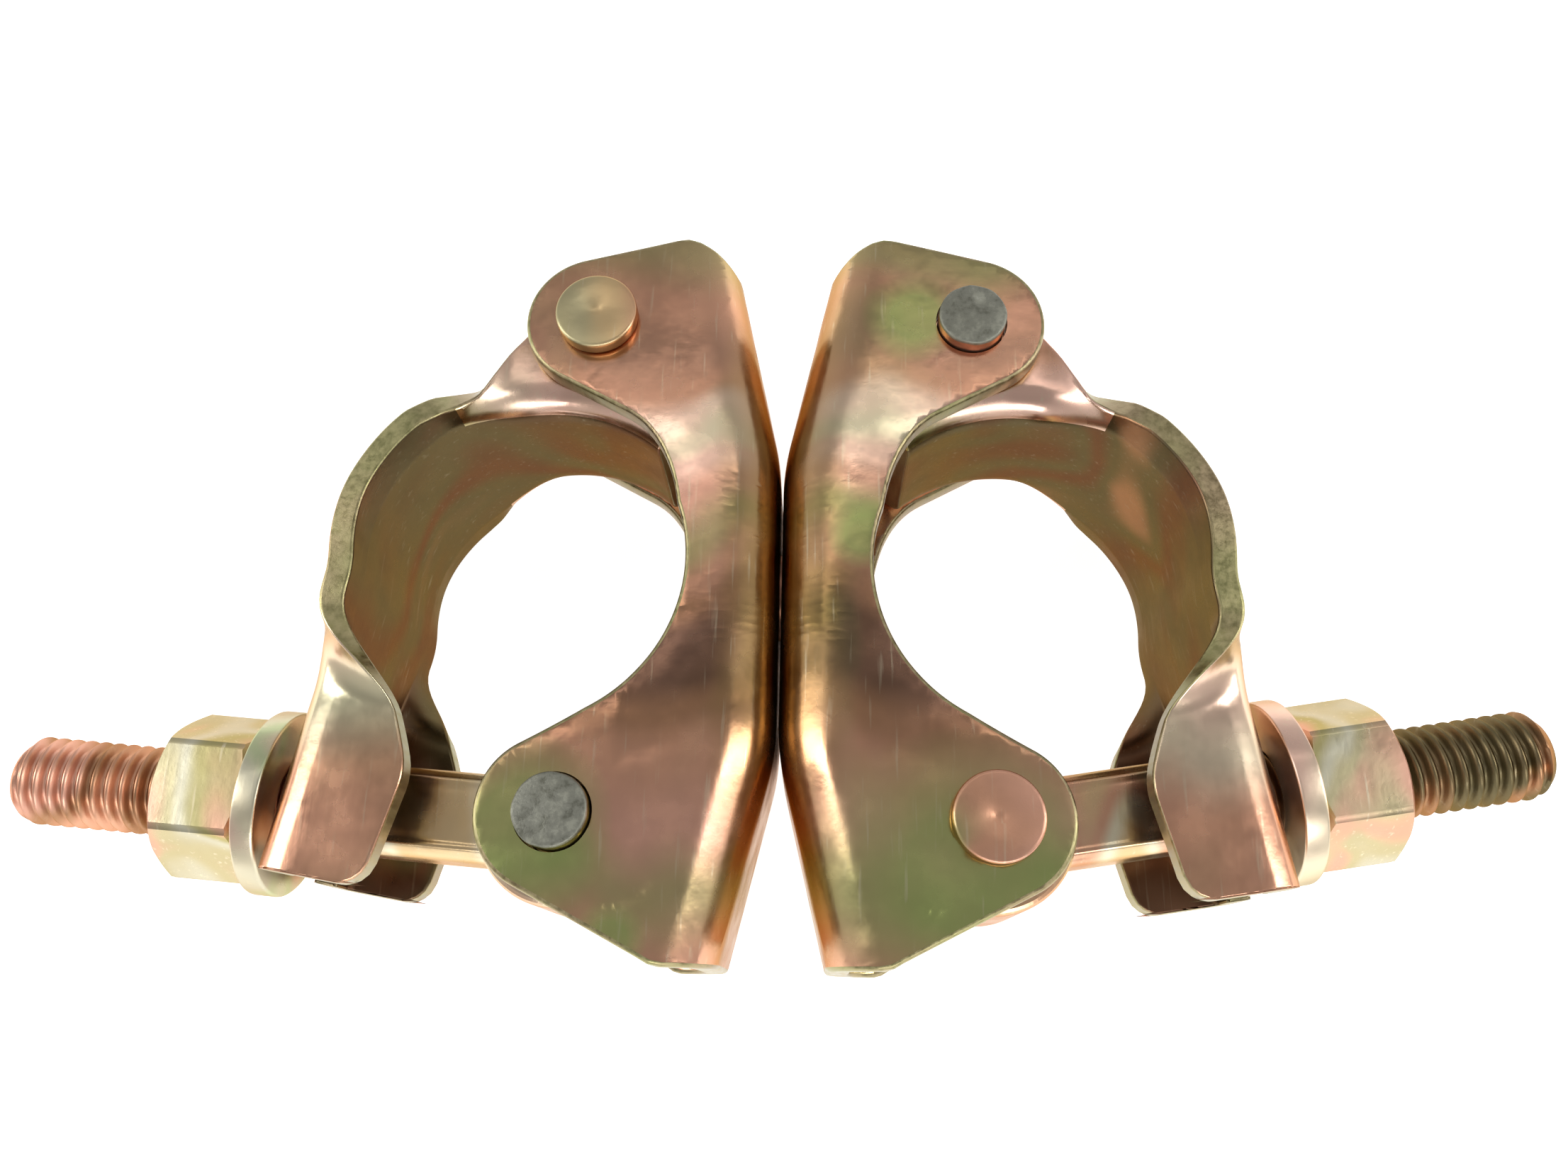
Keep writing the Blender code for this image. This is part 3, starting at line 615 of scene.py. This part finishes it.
def cut_grid(bm, axis, places):
    normal = Vector((1, 0, 0)) if axis == 0 else Vector((0, 1, 0))
    for place in places:
        everything = bm.verts[:] + bm.edges[:] + bm.faces[:]
        bmesh.ops.bisect_plane(bm, geom=everything, dist=1e-7, plane_co=normal * place,
                               plane_no=normal)


def press_marks(spot, facing):
    """Small uneven dents that the press left on the cheeks, as a move along the surface."""
    u, v = spot.x, spot.y
    move = 0.10 * MM * noise.noise(Vector((u, v, spot.z)) * 70)
    seat_side = math.hypot(u - TUBE_U, v - TUBE_V) - SEAT_RADIUS
    if facing:
        move -= 0.35 * MM * math.exp(-(seat_side / (2.5 * MM)) ** 2) * ease(-v, -0.01, 0.012)
        ear = math.hypot((u - 21.5 * MM) / 1.4, v + 41.5 * MM) - 4.6 * MM
        move -= 0.22 * MM * (1 - ease(ear, -0.5 * MM, 0.4 * MM))
        pad = max(abs(u - 17.5 * MM) - 3.2 * MM, abs(v + 22.5 * MM + (u - 17.5 * MM) * 0.3)
                  - 4.2 * MM)
        move -= 0.18 * MM * (1 - ease(pad, -0.6 * MM, 0.5 * MM))
        ridge = noise.noise(Vector((u * 260, v * 60, 3.0)))
        move += 0.12 * MM * ridge * (1 - ease(abs(v + 12 * MM), 6 * MM, 14 * MM))
    return move


def make_body(side, looks):
    half = [unrolled(p) for p in cheek_outline()]
    outline = half + [(-s, v) for s, v in reversed(half)]
    holes = []
    for centre in ((HINGE_U, HINGE_V), (BOLT_U, BOLT_V)):
        ring = [unrolled(p) for p in arc(centre, PIN_RADIUS + CLEARANCE, 0, 360, 48)[:-1]]
        holes += [ring, [(-s, v) for s, v in ring]]
    holes.append(arc((0, TUBE_V), SWIVEL_SHANK + CLEARANCE, 0, 360, 60)[:-1])
    bm = rounded_blank(outline, holes, BODY_SHEET, EDGE_ROUND)
    reach = max(s for s, _v in outline)
    columns = int(reach / GRID_STEP)
    cut_grid(bm, 0, [GRID_STEP * k for k in range(-columns, columns + 1)])
    rows = int(53 * MM / GRID_STEP)
    cut_grid(bm, 1, [GRID_STEP * k for k in range(-rows, rows + 1)])
    for vert in bm.verts:
        s, v, depth = vert.co
        spot = bend_body(s, v, depth)
        out = (bend_body(s, v, depth - 0.5 * MM) - spot) / (0.5 * MM)
        outer = depth < BODY_SHEET / 2
        fade = ease(abs(s), WEB_HALF, CHEEK_START)
        vert.co = spot + out * press_marks(spot, outer) * fade
    names = (looks["body_" + side], looks["edge"], looks["body_" + side])
    add_piece("body_detail_" + side, bm, half_place(side), names, "half_" + side,
              "body_" + side, 40)


# ---------------------------------------------------------------- cap
CAP_MID = CAP_RADIUS + CAP_SHEET / 2
ARC_LENGTH = CAP_MID * (CAP_START - CAP_END)
TURN_LENGTH = CAP_TURN_RADIUS * (FORK_LEAN - CAP_END)
FORK_START = ARC_LENGTH + TURN_LENGTH


def cap_path(along):
    """Middle of the strip: point and outward direction, at a length along it."""
    lean = max(CAP_START - along / CAP_MID, CAP_END)
    out = Vector((math.cos(lean), math.sin(lean)))
    point = Vector(CAP_CENTRE) + out * CAP_MID
    if along <= ARC_LENGTH:
        return point, out
    centre = point + out * CAP_TURN_RADIUS
    lean = min(CAP_END + (along - ARC_LENGTH) / CAP_TURN_RADIUS, FORK_LEAN)
    out = Vector((math.cos(lean), math.sin(lean)))
    point = centre - out * CAP_TURN_RADIUS
    past = max(0.0, along - FORK_START)
    return point + Vector((out.y, -out.x)) * past, out


def ear_lip(angle):
    """Straight part of a hinge flange: the round ear about the hinge pin, then the heel."""
    away = Vector((HINGE_U, HINGE_V)) - Vector(CAP_CENTRE)
    middle = math.atan2(away.y, away.x)
    side = middle + math.asin(CAP_EAR / away.length)
    off = min(angle, side) - middle
    across = away.length * math.sin(off)
    reach = math.sqrt(max(0.0, CAP_EAR ** 2 - across ** 2))
    lip = away.length * math.cos(off) + reach - CAP_MID - CAP_FOLD
    heel = max(0.0, angle - side) / (CAP_START - side)
    return lip + (HEEL_LIP - lip) * heel


def cap_section(along):
    """Half width of the flat middle, signed fold angle, and straight lip at a length."""
    fork = along - FORK_START
    angle = math.degrees(CAP_START - along / CAP_MID)
    if fork < -16 * MM:
        open_out = 1 - ease(angle, 50, 84)
        flat = HINGE_HALF - CAP_SHEET / 2 - CAP_FOLD
        flat += (RIM_FLAT - flat) * open_out
        fold = math.radians(90) + (RIM_FLARE - math.radians(90)) * open_out
        line = ((-89.1, 13.5), (-83.4, 8.6), (-78.5, 5.6), (-73.8, 3.2), (-67.5, 1.5),
                (-62.0, 1.9), (-58.0, 2.7), (-54.0, 3.8), (-46.0, RIM_LIP / MM))
        lip = ear_lip(math.radians(angle)) if angle > 89.1 else through(-angle, line) * MM
        return flat, fold, lip
    turn_in = ease(fork, 2 * MM, 16 * MM)
    flat = FORK_HALF - CAP_SHEET / 2 - CAP_FOLD
    flat = RIM_FLAT + (flat - RIM_FLAT) * ease(fork, 0, 15 * MM)
    fold = RIM_FLARE * (1 - ease(fork, -15 * MM, 1 * MM)) - math.radians(90) * turn_in
    line = ((-12, RIM_LIP / MM), (2, 4.9), (6.3, 5.1), (11, 6.3), (15, 8.3), (19, 10.4),
            (22, 11.7), (24.5, 12.1), (27, 11.9), (39.2, 10.7))
    lip = through(fork / MM, line) * MM
    near_end = max(0.0, CORNER - (FORK_LENGTH - fork))
    rounding = CORNER - math.sqrt(max(0.0, CORNER ** 2 - near_end ** 2))
    return flat, fold, lip - rounding


def fold_cap(along, across, depth, section):
    """Place a point of the strip; depth is measured outward from mid thickness."""
    point, out = cap_path(along)
    flat, fold, _lip = section
    side, past = (1 if across >= 0 else -1), max(0.0, abs(across) - flat)
    turn = min(past / CAP_FOLD, abs(fold))
    lean = math.copysign(turn, fold)
    wide = min(abs(across), flat) + CAP_FOLD * math.sin(turn)
    rise = math.copysign(CAP_FOLD * (1 - math.cos(turn)), fold)
    straight = max(0.0, past - CAP_FOLD * abs(fold))
    wide += straight * math.cos(lean) - depth * math.sin(lean)
    rise += straight * math.sin(lean) + depth * math.cos(lean)
    spot = point + out * rise
    return Vector((spot.x, spot.y, side * wide))


def cap_rows():
    """Lengths along the strip: fine where the outline turns, and the row the slot ends on."""
    heel = (0, 2.7, 5.4, 8.1, 10.8, 13.6, 16.3, 17.1, 18.2, 19.6, 21.3, 23.2, 25.4, 28)
    hinge = [CAP_MID * math.radians(d) for d in heel]
    hinge += [hinge[-1] + (ARC_LENGTH - hinge[-1]) * k / 60 for k in range(1, 61)]
    first = FORK_START - ARC_LENGTH
    rest = [ARC_LENGTH + first * k / 5 for k in range(1, 6)]
    slot = FORK_START + SLOT_TOP + SLOT_HALF
    rest += [FORK_START + (slot - FORK_START) * k / 22 for k in range(1, 22)]
    end = [slot + (FORK_START + FORK_LENGTH - CORNER - slot) * k / 10 for k in range(11)]
    end += [FORK_START + FORK_LENGTH - CORNER * (1 - math.sin(math.radians(a)))
            for a in (25, 45, 62, 78, 90)]
    return hinge + rest + end, len(hinge) + len(rest)


def cap_columns(flat, fold, lip):
    bend = CAP_FOLD * abs(fold)
    slot = [SLOT_HALF * math.sin(math.radians(a)) for a in (0, 15, 30, 45, 60, 75, 90)]
    inner = [SLOT_HALF + (flat - SLOT_HALF) * k / 3 for k in (1, 2, 3)]
    lips = [flat + bend + lip * k / 5 for k in (1, 2, 3, 4, 5)]
    return slot + inner + [flat + bend * k / 8 for k in range(1, 9)] + lips, len(slot) - 1


def slot_shift(row_along, across):
    """Pull the rows up over the rounded end of the slot."""
    if abs(across) >= SLOT_HALF:
        return 0.0
    near = row_along - FORK_START - SLOT_TOP - SLOT_HALF
    fade = 1 - ease(abs(near), 0, SLOT_FADE)
    return math.sqrt(SLOT_HALF ** 2 - across ** 2) * fade


def make_cap(side, looks):
    rows, slot_row = cap_rows()
    bm = bmesh.new()
    grid = {}
    for i, along in enumerate(rows):
        right, slot_column = cap_columns(*cap_section(along))
        columns = [-c for c in reversed(right[1:])] + right
        for j, across in enumerate(columns):
            at = along - slot_shift(along, across)
            section = cap_section(at if abs(across) < SLOT_HALF else along)
            for k, depth in enumerate((-CAP_SHEET / 2, CAP_SHEET / 2)):
                spot = fold_cap(at, across, depth, section)
                spot += Vector((0.12, 0.12, 0.08)) * MM * noise.noise(spot * 80)
                grid[i, j, k] = bm.verts.new(spot)
    last, middle = len(columns) - 1, len(right) - 1
    strip, hinge_end = slot_column + 5, CAP_MID * (CAP_START - math.radians(60))

    def solid(i, j):
        inside = 0 <= i < len(rows) - 1 and 0 <= j < last
        return inside and not (i >= slot_row and abs(j + 0.5 - middle) < slot_column)

    def face(corners, slot):
        bm.faces.new([grid[c] for c in corners]).material_index = slot

    for i in range(len(rows) - 1):
        for j in range(last):
            if not solid(i, j):
                continue
            flange = rows[i] < hinge_end and abs(j + 0.5 - middle) > strip
            # inside faces of the strip, off the hinge flanges, get the darker plating: painted shade
            for k, slot in ((0, 0 if flange else 2), (1, 0)):
                face([(i + a, j + b, k) for a, b in ((0, 0), (0, 1), (1, 1), (1, 0))], slot)
            for near, (p, q) in (((i - 1, j), ((0, 0), (0, 1))), ((i + 1, j), ((1, 0), (1, 1))),
                                 ((i, j - 1), ((0, 0), (1, 0))), ((i, j + 1), ((0, 1), (1, 1)))):
                if not solid(*near):
                    face([(i + p[0], j + p[1], 0), (i + q[0], j + q[1], 0),
                          (i + q[0], j + q[1], 1), (i + p[0], j + p[1], 1)], 1)
    for vert in [v for v in bm.verts if not v.link_faces]:
        bm.verts.remove(vert)
    names = (looks["cap_" + side], looks["edge"], looks["inner_" + side])
    cap = add_piece("cap_detail_" + side, bm, half_place(side), names, "cap_" + side,
                    "cap_" + side, 40)
    drill = turned([(PIN_RADIUS + CLEARANCE, -30 * MM), (PIN_RADIUS + CLEARANCE, 30 * MM)], 48)
    cut_with(cap, drill, half_place(side) @ Matrix.Translation((HINGE_U, HINGE_V, 0)),
             "DIFFERENCE")
    bevel = cap.modifiers.new("edges", "BEVEL")
    bevel.width = 0.42 * MM
    bevel.segments = 3
    bevel.limit_method = "ANGLE"
    bevel.angle_limit = math.radians(50)
    bevel.use_clamp_overlap = False
    apply_modifiers(cap)


# ---------------------------------------------------------------- rivets
def make_pin(name, side, centre, head_up, looks):
    """Rivet with a flat dimpled head and, at the other end, a hammered bare tail."""
    face = BODY_WIDTH / 2 + CLEARANCE
    head, tail = face + PIN_HEAD, BODY_WIDTH / 2 + PIN_TAIL
    body = [(PIN_HEAD_RADIUS, -head), (PIN_HEAD_RADIUS, -face), (PIN_RADIUS, -face),
            (PIN_RADIUS, tail)]
    corners = soften([(0.3 * MM, -head)] + body + [(PIN_RADIUS - 2 * MM, tail)], 0.55 * MM)
    dimple = [(0.25 * MM, -head + 0.3 * MM), (0.7 * MM, -head + 0.25 * MM),
              (1.2 * MM, -head + 0.02 * MM)]
    crown = [(3.2 * MM, tail + 0.12 * MM), (1.6 * MM, tail + 0.2 * MM), (0.3 * MM, tail + 0.22 * MM)]
    bm = turned(dimple + corners[1:-1] + crown)
    for item in bm.faces:
        low = min(v.co.z for v in item.verts)
        item.material_index = 1 if low > BODY_WIDTH / 2 + 0.5 * MM else 0
    for vert in bm.verts:
        if vert.co.z > BODY_WIDTH / 2 + 0.9 * MM:
            vert.co += Vector((0.1, 0.1, 0.16)) * MM * noise.noise(vert.co * 420)
    flip = Matrix.Rotation(math.pi if head_up else 0.0, 4, "X")
    place = half_place(side) @ Matrix.Translation((*centre, 0)) @ flip
    add_piece(name + "_detail_" + side, bm, place, (looks["pin_" + side], looks["peened"]),
              "half_" + side, name + "_" + side)


def make_swivel(looks):
    """Rivet through both webs, with a loose washer under each head."""
    web_inner = SEAM_GAP + BODY_SHEET
    head = web_inner + 2 * CLEARANCE + SWIVEL_WASHER
    rim, top = SWIVEL_HEAD_RADIUS, head + SWIVEL_HEAD
    dome = [(rim * math.cos(math.radians(a)), head + 0.8 * MM + (SWIVEL_HEAD - 0.8 * MM)
             * math.sin(math.radians(a))) for a in range(0, 86, 10)]
    upper = [(SWIVEL_SHANK, head), (rim, head)] + dome + [(0.4 * MM, top)]
    bm = turned([(r, -h) for r, h in reversed(upper)] + upper)
    along_x = Matrix.Rotation(math.radians(90), 4, "Y")
    centre = Matrix.Translation((0, TUBE_V, CENTRE_HEIGHT))
    add_piece("swivel_rivet_detail", bm, centre @ along_x, (looks["pin_b"],), "half_a",
              "swivel_rivet")
    inner = SWIVEL_SHANK + CLEARANCE
    low, high = web_inner + CLEARANCE, web_inner + CLEARANCE + SWIVEL_WASHER
    ring = [(inner, low), (SWIVEL_WASHER_RADIUS, low), (SWIVEL_WASHER_RADIUS, high), (inner, high)]
    for side, turn in (("a", -90), ("b", 90)):
        place = centre @ Matrix.Rotation(math.radians(turn), 4, "Y")
        add_piece("swivel_washer_detail_" + side, turned(soften(ring, 0.25 * MM, True), ROUND, True),
                  place, (looks["washer_" + side],), "half_a", "swivel_washer_" + side)


# ---------------------------------------------------------------- bolt, washer and nut
def thread_radius(x, turn):
    """Whitworth-like profile: rounded crests and roots along a right-hand helix."""
    phase = (x / THREAD_PITCH - turn / (2 * math.pi)) % 1.0
    wave = abs(phase - 0.5) * 2
    depth = THREAD_DEPTH * ease(wave, 0.08, 0.92)
    start = ease(x, NECK_END, NECK_END + 2 * THREAD_PITCH)
    tip = max(0.0, x - (BOLT_LENGTH - 1.6 * MM))
    return min(THREAD_RADIUS - depth * start, THREAD_RADIUS - tip * 0.9)


def bolt_loop(x):
    """Section of the bolt at a distance from the pin: forged neck, then thread."""
    loop = []
    square = 5 - 3 * ease(x, NECK_END - 6 * MM, NECK_END)
    high = NECK_HALF + (THREAD_RADIUS - NECK_HALF) * ease(x, NECK_END - 6 * MM, NECK_END)
    for i in range(BOLT_SIDES):
        turn = 2 * math.pi * i / BOLT_SIDES
        c, s = math.cos(turn), math.sin(turn)
        if x > NECK_END:
            r = thread_radius(x, turn)
            loop.append(Vector((x, r * c, r * s)))
            continue
        y = THREAD_RADIUS * math.copysign(abs(c) ** (2 / square), c)
        z = high * math.copysign(abs(s) ** (2 / square), s)
        neck = 1 - ease(x, NECK_END - 9 * MM, NECK_END - 2 * MM)
        groove = math.exp(-((abs(y) - 4.7 * MM) / (0.55 * MM)) ** 2)
        lift = -0.45 * MM * groove * neck if abs(z) > 3 * MM else 0.0
        rough = 0.14 * MM * noise.noise(Vector((x * 90, y * 260, z * 100))) * neck
        loop.append(Vector((x, y, z + math.copysign(lift + rough, z) * ease(abs(z), 0, 2 * MM))))
    return loop


def make_bolt(side, looks):
    stations = [7.2 * MM + (NECK_END - 7.2 * MM) * k / 44 for k in range(45)]
    turns = int((BOLT_LENGTH - NECK_END) / THREAD_PITCH * 10)
    stations += [NECK_END + (BOLT_LENGTH - NECK_END) * k / turns for k in range(1, turns + 1)]
    bm = skin([bolt_loop(x) for x in stations], False)
    for item in bm.faces:
        item.material_index = 1 if item.calc_center_median().x > NECK_END + 2 * MM else 0
    bolt = add_piece("swing_bolt_detail_" + side, bm, bolt_place(side, 0.0),
                     (looks["bolt_" + side], looks["thread_" + side]), "bolt_" + side,
                     "swing_bolt_" + side, 45)
    rim = EYE_RADIUS
    eye = soften([(rim - 4 * MM, -EYE_HALF), (rim, -EYE_HALF), (rim, EYE_HALF),
                  (rim - 4 * MM, EYE_HALF)], 1.3 * MM)
    cut_with(bolt, turned(eye), bolt_place(side, 0.0), "UNION")
    hole = turned([(PIN_RADIUS + CLEARANCE, -20 * MM), (PIN_RADIUS + CLEARANCE, 20 * MM)], 48)
    cut_with(bolt, hole, bolt_place(side, 0.0), "DIFFERENCE")


def make_washer(side, looks):
    rim = WASHER_RADIUS
    profile = soften([(BORE, 0), (rim, 0), (rim, WASHER_THICK), (BORE, WASHER_THICK)],
                     0.45 * MM, True)
    bm = turned(profile, ROUND, True)
    for vert in bm.verts:
        vert.co += vert.co.normalized() * 0.08 * MM * noise.noise(vert.co * 200)
    bm.transform(Matrix.Rotation(math.radians(90), 4, "Y"))
    add_piece("washer_detail_" + side, bm, bolt_place(side, WASHER_FACE),
              (looks["washer_" + side],), "washer_" + side, "washer_" + side)


def make_nut(side, looks):
    sides, flat = 144, NUT_FLATS / 2
    turns = [2 * math.pi * i / sides for i in range(sides)]
    hexagon = []
    for t in turns:
        off = abs((t + math.pi / 6) % (math.pi / 3) - math.pi / 6)
        hexagon.append(min(flat / math.cos(off), (flat - 0.05 * MM) / math.cos(math.pi / 6)
                           - 0.35 * MM * math.exp(-((math.pi / 6 - off) / 0.05) ** 2)))
    cut = [min(r, NUT_CHAMFER_RADIUS) for r in hexagon]
    drop = [max(0.0, (r - NUT_CHAMFER_RADIUS) * 0.577) + 0.12 * MM for r in hexagon]
    bore, none = [BORE + 0.5 * MM] * sides, [0.0] * sides
    deep, wall = [BORE] * sides, [0.6 * MM] * sides
    rows = ((deep, wall, 0.0), (bore, none, 0.0), (cut, none, 0.0), (hexagon, drop, 0.0),
            (hexagon, [d + 0.5 * MM for d in drop], 0.0),
            (hexagon, [-d - 0.5 * MM for d in drop], NUT_LENGTH),
            (hexagon, [-d for d in drop], NUT_LENGTH), (cut, none, NUT_LENGTH),
            (bore, none, NUT_LENGTH), (deep, [-w for w in wall], NUT_LENGTH))
    loops = [[Vector((base + d, r * math.sin(t), r * math.cos(t)))
              for r, d, t in zip(radii, drops, turns)] for radii, drops, base in rows]
    add_piece("nut_detail_" + side, skin(loops, True),
              bolt_place(side, WASHER_FACE + WASHER_THICK + CLEARANCE),
              (looks["nut_" + side],), "nut_" + side, "nut_" + side, 24)


# ---------------------------------------------------------------- stage
FLOOR_GLOW = 0.85                  # the ground is a lit table, almost without shadows


def make_floor():
    mesh = bpy.data.meshes.new("floor")
    size = 3.0
    mesh.from_pydata([(-size, -size, 0), (size, -size, 0), (size, size, 0), (-size, size, 0)], [],
                     [(0, 1, 2, 3)])
    n = Nodes("pale_floor")
    n.shader.inputs["Base Color"].default_value = (0.9, 0.9, 0.9, 1.0)
    n.shader.inputs["Roughness"].default_value = 0.8
    n.shader.inputs["Emission Color"].default_value = (1.0, 1.0, 1.0, 1.0)
    n.shader.inputs["Emission Strength"].default_value = FLOOR_GLOW
    mesh.materials.append(n.material)
    floor = bpy.data.objects.new("floor", mesh)
    bpy.context.collection.objects.link(floor)


def area_light(name, place, target, size, power, colour=(1, 1, 1)):
    light = bpy.data.lights.new(name, "AREA")
    light.shape = "RECTANGLE"
    light.size, light.size_y = size
    light.energy = power
    light.color = colour
    item = bpy.data.objects.new(name, light)
    item.location = place
    item.rotation_euler = (Vector(target) - Vector(place)).to_track_quat("-Z", "Y").to_euler()
    bpy.context.collection.objects.link(item)


def make_light():
    """Bright low surroundings, a dimmer zenith, a narrow window high behind, and soft panels."""
    scene = bpy.context.scene
    scene.view_settings.view_transform = "Standard"
    world = bpy.data.worlds.new("studio")
    scene.world = world
    world.use_nodes = True
    tree = world.node_tree
    place = tree.nodes.new("ShaderNodeTexCoord")
    split = tree.nodes.new("ShaderNodeSeparateXYZ")
    ramp = tree.nodes.new("ShaderNodeValToRGB")
    tree.links.new(place.outputs["Generated"], split.inputs[0])
    tree.links.new(split.outputs["Z"], ramp.inputs["Fac"])
    stops = ((0.0, 0.80), (0.5, 0.62), (0.80, 0.42), (0.93, 0.43), (1.0, 0.46))
    while len(ramp.color_ramp.elements) < len(stops):
        ramp.color_ramp.elements.new(0.5)
    for element, (at, grey) in zip(ramp.color_ramp.elements, stops):
        element.position = at
        element.color = (grey, grey, grey, 1)
    tree.links.new(ramp.outputs["Color"], tree.nodes["Background"].inputs["Color"])
    tree.nodes["Background"].inputs["Strength"].default_value = 0.9
    middle = (0, 0, 0.02)
    area_light("window", (-0.05, 0.293, 0.62), middle, (0.9, 0.05), 0.30, (1.0, 0.97, 0.93))
    area_light("left_strip", (-0.6, 0.05, 0.4), middle, (0.14, 0.6), 1.8)
    area_light("right_strip", (0.6, 0.0, 0.4), middle, (0.14, 0.6), 1.8)
    area_light("front_softbox", (0.1, -0.6, 0.4), middle, (0.7, 0.2), 2.0)


def make_camera():
    camera = bpy.data.cameras.new("camera")
    camera.lens, camera.sensor_width = CAMERA_LENS, SENSOR
    camera.clip_start = 0.01
    item = bpy.data.objects.new("camera", camera)
    about_x, about_y, about_z = (math.radians(a) for a in CAMERA_TURNS)
    turn = (Matrix.Rotation(about_z, 3, "Z") @ Matrix.Rotation(about_x, 3, "X")
            @ Matrix.Rotation(about_y, 3, "Y"))
    item.matrix_world = Matrix.Translation(CAMERA_PLACE) @ turn.transposed().to_4x4()
    bpy.context.collection.objects.link(item)
    bpy.context.scene.camera = item


def main():
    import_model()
    make_camera()
    make_light()
    make_floor()
    looks = make_looks()
    for side in ("a", "b"):
        make_body(side, looks)
        make_cap(side, looks)
        make_pin("hinge_rivet", side, (HINGE_U, HINGE_V), False, looks)
        make_pin("bolt_rivet", side, (BOLT_U, BOLT_V), True, looks)
        make_bolt(side, looks)
        make_washer(side, looks)
        make_nut(side, looks)
    make_swivel(looks)


main()
